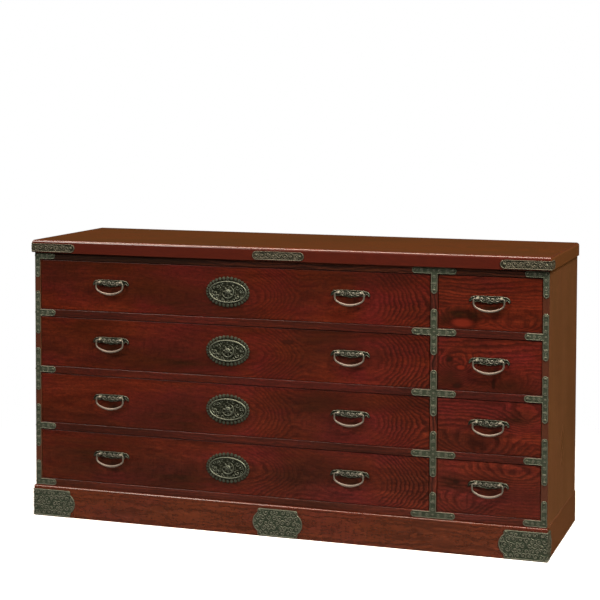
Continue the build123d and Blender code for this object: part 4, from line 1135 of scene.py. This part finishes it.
def medallion_relief(u, w, distance):
    """Lobes, ring, curls and flower, each a height in millimetres over the flat back."""
    from_ring = oval(u, w, *RING_HALF)
    reach = np.hypot(u, w)
    angle = np.arctan2(w, u)
    lobes = np.zeros_like(u)
    for lobe_u, lobe_w in oval_places(*LOBE_OVAL, SCALLOPS):
        lobes = np.maximum(lobes, raised_band(np.hypot(u - lobe_u, w - lobe_w), LOBE_RADIUS))
    rim = 0.9 + 1.3 * lobes**0.8 * smooth_step(-from_ring, 0.3, 1.2)
    ring = 1.0 + 3.0 * raised_band(from_ring - 0.5 * RING_BAR, 0.5 * RING_BAR)

    curls = [
        (place * mirror, level)
        for mirror in (-1, 1)
        for place, level in ((29.0, 12.8), (28.5, -12.5), (38.5, 3.5 * mirror))
    ]
    small = [place[:2] for place in (*four_ways(16.5, 21.5), *four_ways(41.0, 12.0))]
    blades = [(0.0, side * 23.2, 0.03 * side) for side in (-1, 1)]
    blades += [(9.8 * mirror, side * 24.0, 0.06 * mirror) for mirror in (-1, 1) for side in (-1, 1)]
    for turn in (1.7, 2.3, 2.9, 3.5):
        blades.append((18.5 * math.cos(turn), 18.5 * math.sin(turn), turn / 6.3 + 0.16))
    for blade in ((21.0, 10.5, 0.16), (36.5, 18.5, 0.44), (48.5, 5.5, 0.20), (22.5, 3.5, 0.22)):
        blades += four_ways(*blade)
    height = np.maximum(tendrils(u, w, curls, 7.4, 1.15, 0.21), tendrils(u, w, small, 4.8, 1.0, 0.27))
    height = np.maximum(height, leaves(u, w, blades, 8.5, 4.0))
    field = GROUND_LEVEL + 2.4 * height * smooth_step(from_ring, RING_BAR, RING_BAR + 0.8)

    swing = 0.5 + 0.5 * np.cos(angle + 0.9)
    crescent = GROUND_LEVEL + 3.2 * swing**0.5 * raised_band(reach - BOSS_RING_RADIUS, 0.9 + 1.6 * swing)
    spots = oval_places(PETAL_REACH, PETAL_REACH, PETALS, 0.4)
    petals = [(*spot, (number + 0.4) / PETALS) for number, spot in enumerate(spots)]
    calyx = GROUND_LEVEL + 2.9 * leaves(u, w, petals, 8.2, 5.6)
    lobed = 0.66 + 0.34 * np.abs(np.cos(2.5 * angle + 0.4)) ** 0.6
    flower = 1.0 + 4.8 * raised_band(reach, FLOWER_RADIUS) * lobed
    heart = 3.6 + 2.0 * raised_band(reach, HEART_RADIUS)
    flower = np.where(reach < HEART_GROOVE_RADIUS, 3.2, flower)
    flower = np.where(reach < HEART_RADIUS, heart, flower)
    boss = np.maximum(calyx, flower * (reach < FLOWER_RADIUS))
    body = np.maximum(np.where(reach < BOSS_RING_RADIUS, boss, field), crescent)
    seat = np.hypot(np.abs(u) - MEDALLION_NAIL_REACH, w)
    body = np.where(seat < MEDALLION_NAIL_SEAT, MEDALLION_BASE, body)
    return np.where(from_ring > 0.5 * RING_BAR, np.maximum(body, ring), np.where(from_ring > 0.0, ring, rim))


def domed_nail(centre, radius=3.2, height=1.2, shank=0.9, depth=12.0, around=20):
    """Nail with its head on the face: the dome is part of a ball, and the shank goes into the wood.

    Rings of the profile are turned about the nail's axis. Returns distance across, up and proud.
    """
    ball = (radius**2 + height**2) / (2 * height)
    lift = np.linspace(0.0, 1.0, 6)[1:]
    dome_r = radius * np.sin(lift * np.pi / 2)
    dome_s = np.sqrt(ball**2 - dome_r**2) - (ball - height)
    profile_r = np.concatenate([dome_r, [radius, shank, shank]])
    profile_s = np.concatenate([dome_s, [-0.05, -0.05, -depth]])
    return turned(centre, profile_r, profile_s, around)


def turned(centre, profile_r, profile_s, around):
    """Surface of revolution about an axis through centre, closed by a point at each end."""
    angle = np.linspace(0, 2 * np.pi, around, endpoint=False)
    u = centre[0] + profile_r[:, None] * np.cos(angle)
    w = centre[1] + profile_r[:, None] * np.sin(angle)
    proud = np.repeat(profile_s[:, None], around, axis=1)
    top = profile_s[0] + 0.12 * profile_r[0]
    u = np.concatenate([[centre[0]], u.ravel(), [centre[0]]])
    w = np.concatenate([[centre[1]], w.ravel(), [centre[1]]])
    proud = np.concatenate([[top], proud.ravel(), [profile_s[-1]]])
    index = 1 + np.arange(len(profile_r) * around).reshape(-1, around)
    after = np.roll(index, -1, axis=1)
    sides = np.stack([index[:-1], index[1:], after[1:], after[:-1]], -1).reshape(-1, 4)
    faces = sides.tolist()
    faces += [[0, a, b] for a, b in zip(index[0].tolist(), after[0].tolist())]
    last = len(u) - 1
    faces += [[last, b, a] for a, b in zip(index[-1].tolist(), after[-1].tolist())]
    return u, w, proud, faces


for tier in TIERS:
    node = f"long_drawer_{tier}_medallion"
    low, high = box_mm(node)
    front_low, front_high = box_mm(f"long_drawer_{tier}_front")
    middle, half = (low + high) / 2, (high - low) / 2
    outline = medallion_outline(half[0], half[2])
    size = ((-half[0], half[0]), (-half[2], half[2]))
    sheet = worked_sheet(*size, MEDALLION_CELL, outline, medallion_relief)
    place = facing_front(front_low[1], middle[0], middle[2])
    parts = [in_place(sheet, place, GROUND_LEVEL, WORN_LEVEL)]
    for side in (-1, 1):
        u, w, proud, faces = domed_nail((MEDALLION_NAIL_REACH * side, 0.0))
        parts.append((place(u, w, proud + MEDALLION_BASE), faces, np.full(len(u), 0.7)))
    iron_piece(f"medallion_{tier}", parts, medallion_iron, node, f"long_drawer_{tier}")


# ---- Ironwork nails ----
# Hand-cut nails with low domed heads hold the brackets, straps and plates. They stay as they are in
# the construction model and get the rubbed iron of the heads.
nail_iron = blackened_iron(
    "iron_nails", (0.072, 0.080, 0.055), (0.090, 0.096, 0.068), (0.116, 0.118, 0.087), 0.58, 0.3
)
dress("ironwork_nails", nail_iron)


# ---- Handle plates and posts ----
# Each bail hangs on two turned posts, riveted through a back plate with leaf-shaped tips. The stem of
# each post goes through the front and takes a round nut inside the drawer.
HANDLE_TOP = 3.6
HANDLE_GROUND = 2.3
HANDLE_CELL = 0.7
POST_SEAT = 1.5
POST_SPACING = 64.0
EYE_REACH = 11.0
EYE_RADIUS = 4.2
STEM_RADIUS = 2.0
BAIL_RADIUS = 2.7
NUT_RADIUS = 5.0
NUT_THICKNESS = 3.0
STEM_END = 1.5
HANDLE_RIM = 1.3
HANDLE_WIDTH = (-56.0, 56.0)
HANDLE_HEIGHT = (-14.0, 7.5)
NUT_BORE_RADIUS = 2.2
NUT_BEVEL = 0.5
ROUND = 24
BEFORE_BEND = ((0.0, 7.0), (20.0, 7.0), (38.5, 7.0), (41.0, 5.2), (46.5, 5.6), (52.0, 1.6), (55.6, -5.0))
LEAF_TIP = ((54.6, -11.6), (50.6, -7.6), (46.4, -3.6), (43.6, -5.2), (42.6, -9.4), (36.5, -10.6))
LOWER_EDGE = ((30.0, -8.8), (23.0, -10.4), (15.0, -12.0), (11.0, -10.4), (5.5, -12.8), (0.0, -13.4))
handle_iron = blackened_iron(
    "iron_handle_plates", (0.018, 0.024, 0.016), (0.100, 0.106, 0.080), (0.165, 0.160, 0.134), 0.52, 0.4
)


def softened(points, rounds=2):
    """Cut the corners of a closed outline: each side keeps its part from a quarter to three quarters."""
    for _ in range(rounds):
        after = np.roll(points, -1, axis=0)
        points = np.stack([0.75 * points + 0.25 * after, 0.25 * points + 0.75 * after], 1).reshape(-1, 2)
    return points


def inside_outline(points):
    """Distance in from a closed outline of straight sides, negative outside it."""
    after = np.roll(points, -1, axis=0)

    def inside(u, w):
        nearest = np.full(u.shape, np.inf)
        crossings = np.zeros(u.shape)
        for (start_u, start_w), (end_u, end_w) in zip(points, after):
            side_u, side_w = end_u - start_u, end_w - start_w
            part = ((u - start_u) * side_u + (w - start_w) * side_w) / (side_u**2 + side_w**2)
            part = np.clip(part, 0.0, 1.0)
            nearest = np.minimum(nearest, np.hypot(u - start_u - part * side_u, w - start_w - part * side_w))
            if side_w:
                meets = start_u + (w - start_w) * side_u / side_w
                crossings += ((start_w > w) != (end_w > w)) & (u < meets)
        return np.where(crossings % 2 > 0, nearest, -nearest)

    return inside


def handle_ornament(u, w):
    """Curls on either side of the middle, with an upright leaf between each two."""
    curls = [(side * place, -2.4) for side in (-1, 1) for place in (6.4, 20.2)]
    height = tendrils(u, w, curls, 6.0, 1.15, 0.24)
    stems = [(place, -2.6, 0.25 + 0.02 * place / 13.0) for place in (-26.6, -13.3, 0.0, 13.3, 26.6)]
    return np.maximum(height, leaves(u, w, stems, 12.0, 3.0))


right_half = np.array(BEFORE_BEND + LEAF_TIP + LOWER_EDGE)
left_half = right_half[1:-1][::-1] * np.array([-1.0, 1.0])
handle_inside = inside_outline(softened(np.concatenate([right_half, left_half])))
post_seats = [(-POST_SPACING / 2, 0.0), (POST_SPACING / 2, 0.0)]
handle_relief = chased_relief(handle_ornament, HANDLE_RIM, HANDLE_GROUND, HANDLE_TOP, post_seats, 1.5)
handle_sheet = worked_sheet(HANDLE_WIDTH, HANDLE_HEIGHT, HANDLE_CELL, handle_inside, handle_relief)


def post_profile():
    """Radius and height over the plate of a post: round head, neck, then a stepped collar."""
    turn = np.linspace(0.10, 0.86, 9) * np.pi
    neck = np.array([(2.5, 6.6), (2.6, 5.4), (3.4, 4.2), (4.6, 3.8), (5.3, 3.2), (5.5, 2.2), (5.5, 0.0)])
    radius = np.concatenate([EYE_RADIUS * np.sin(turn), neck[:, 0]])
    return radius, np.concatenate([EYE_REACH + EYE_RADIUS * np.cos(turn), neck[:, 1]])


def handle_parts(x, z, front_y, inside_y):
    """Back plate, two posts with their stems, and two nuts of one handle, in place."""
    points, faces, raised = in_place(handle_sheet, facing_front(front_y, x, z), HANDLE_GROUND, HANDLE_TOP)
    u, w = handle_sheet[:2]
    # Painted shade: the bright worn colour is kept off the plate's lower edge and its leaf tips, the left tip
    # most, standing in for the shade there; the upper middle stays bright where hands rub it.
    bright_share = 0.05 + 0.95 * smooth_step(w, -10.5, -5.0) * smooth_step(-np.abs(u - 3.0), -57.0, -46.0)
    parts = [(points, faces, bright_share * raised)]
    place = facing_front(front_y - POST_SEAT, x, z)
    nut_face = front_y - POST_SEAT - inside_y
    end = nut_face - NUT_THICKNESS - STEM_END
    post_r, post_s = post_profile()
    post_r = np.concatenate([post_r, [STEM_RADIUS, STEM_RADIUS, 0.8 * STEM_RADIUS]])
    post_s = np.concatenate([post_s, [0.0, end + 0.4, end]])
    bevel = NUT_RADIUS - NUT_BEVEL
    nut_r = np.array([NUT_BORE_RADIUS, bevel, NUT_RADIUS, NUT_RADIUS, bevel, NUT_BORE_RADIUS])
    nut_s = nut_face - NUT_THICKNESS * np.array([0.0, 0.0, 0.15, 0.85, 1.0, 1.0])
    for centre in post_seats:
        u, w, proud, faces = turned(centre, post_r, post_s, ROUND)
        parts.append((place(u, w, proud), faces, np.clip(0.15 + proud / 20.0, 0.0, 1.0)))
        u, w, proud, faces = turned(centre, nut_r, nut_s, ROUND)
        parts.append((place(u, w, proud), faces, np.full(len(u), 0.4)))
    return parts


HANDLES = []
for tier in TIERS:
    HANDLES.append((f"long_drawer_{tier}", "handle_plates", ("left_bail", "right_bail")))
    HANDLES.append((f"short_drawer_{tier}", "handle_plate", ("bail",)))

for drawer, plates, bails in HANDLES:
    front_low, front_high = box_mm(f"{drawer}_front")
    parts = []
    for bail in bails:
        low, high = box_mm(f"{drawer}_{bail}")
        x, pivot = (low[0] + high[0]) / 2, high[2] - BAIL_RADIUS
        parts += handle_parts(x, pivot, front_low[1], front_high[1])
    iron_piece(f"{drawer}_plates", parts, handle_iron, f"{drawer}_{plates}", drawer)


# ---- Bails ----
# Forged bars that swing in the eyes of the posts: thin pins, a short bend, straight shoulders and a
# bow that grows thicker towards the middle, where fingers have rubbed it bright.
BAIL_HALF_WIDTH = 41.0
BAIL_DROP = 33.0
BAIL_SHOULDER = 12.0
BAIL_CORNER = 13.0
PIN_RADIUS = 1.5
PIN_END = 1.5
EYE_GAP = 0.6
BOW_RADIUS = 2.25
BOW_SWELL = 0.95
SHOULDER_RADIUS = 2.0
bail_iron = blackened_iron(
    "iron_bails", (0.060, 0.060, 0.048), (0.115, 0.104, 0.084), (0.160, 0.136, 0.114), 0.58, 0.3, 0.45
)


def bail_path():
    """Right half of the bar's middle line, from the pin's end to the middle of the bow.

    Pin, quarter bend, straight shoulder, corner arc, then an arc that ends level at the bottom. The
    bow's radius makes it run smoothly into the corner arc.
    """
    bend_u = POST_SPACING / 2 + EYE_RADIUS + EYE_GAP
    bend_radius = BAIL_HALF_WIDTH - bend_u
    across = BAIL_HALF_WIDTH - BAIL_CORNER
    depth = BAIL_DROP - BAIL_SHOULDER
    bow = (across**2 + depth**2 - BAIL_CORNER**2) / (2 * (depth - BAIL_CORNER))
    corner_turn = math.atan2(bow - depth, across)
    pin = np.linspace(POST_SPACING / 2 - EYE_RADIUS - PIN_END, bend_u, 6)[:-1]
    turn = np.linspace(0, np.pi / 2, 6)
    bend_points = (bend_u + bend_radius * np.sin(turn), -bend_radius + bend_radius * np.cos(turn))
    side = np.linspace(-bend_radius, -BAIL_SHOULDER, 5)[1:-1]
    turn = np.linspace(0, corner_turn, 10)
    corner = (across + BAIL_CORNER * np.cos(turn), -BAIL_SHOULDER - BAIL_CORNER * np.sin(turn))
    turn = np.linspace(corner_turn, np.pi / 2, 18)[1:]
    bow_points = (bow * np.cos(turn), -BAIL_DROP + bow - bow * np.sin(turn))
    u = np.concatenate([pin, bend_points[0], np.full(3, BAIL_HALF_WIDTH), corner[0], bow_points[0]])
    w = np.concatenate([np.zeros(5), bend_points[1], side, corner[1], bow_points[1]])
    return u, w


def bail_surface(around=16):
    """Round bar along the path. Its radius steps up from the pins and swells as 1 - (u / half)^2."""
    right_u, right_w = bail_path()
    u = np.concatenate([right_u, -right_u[:-1][::-1]])
    w = np.concatenate([right_w, right_w[:-1][::-1]])
    along_u, along_w = np.gradient(u), np.gradient(w)
    length = np.hypot(along_u, along_w)
    side_u, side_w = -along_w / length, along_u / length
    swell = BOW_RADIUS + BOW_SWELL * (1.0 - (u / BAIL_HALF_WIDTH) ** 2) ** 1.3 * smooth_step(-w, 8.0, 30.0)
    ear = smooth_step(-w, 0.0, 3.0)
    in_eye = np.abs(u) < POST_SPACING / 2 + EYE_RADIUS + 0.2
    radius = np.where(in_eye, PIN_RADIUS, SHOULDER_RADIUS + 0.4 * ear)
    radius = np.where(w < -4.0, swell, radius)
    angle = np.linspace(0, 2 * np.pi, around, endpoint=False)[None, :]
    ring_u = u[:, None] + radius[:, None] * np.cos(angle) * side_u[:, None]
    ring_w = w[:, None] + radius[:, None] * np.cos(angle) * side_w[:, None]
    depth = radius[:, None] * np.sin(angle) * np.ones_like(ring_u)
    index = np.arange(u.size * around).reshape(-1, around)
    after = np.roll(index, -1, axis=1)
    faces = np.stack([index[:-1], after[:-1], after[1:], index[1:]], -1).reshape(-1, 4).tolist()
    faces += [index[0].tolist()[::-1], index[-1].tolist()]
    bright_share = np.repeat((0.25 + 0.75 * smooth_step(-w, 10.0, 33.0))[:, None], around, axis=1)
    return ring_u.ravel(), ring_w.ravel(), depth.ravel(), faces, bright_share.ravel()


bail_u, bail_w, bail_depth, bail_faces, bail_rubbed = bail_surface()
for drawer, _, bails in HANDLES:
    for bail in bails:
        node = f"{drawer}_{bail}"
        low, high = box_mm(node)
        x, eye_y, pivot = (low[0] + high[0]) / 2, (low[1] + high[1]) / 2, high[2] - BAIL_RADIUS
        points = np.stack([bail_u + x, eye_y - bail_depth, bail_w + pivot], -1)
        iron_piece(f"{node}_bar", [(points, bail_faces, bail_rubbed)], bail_iron, node, node)
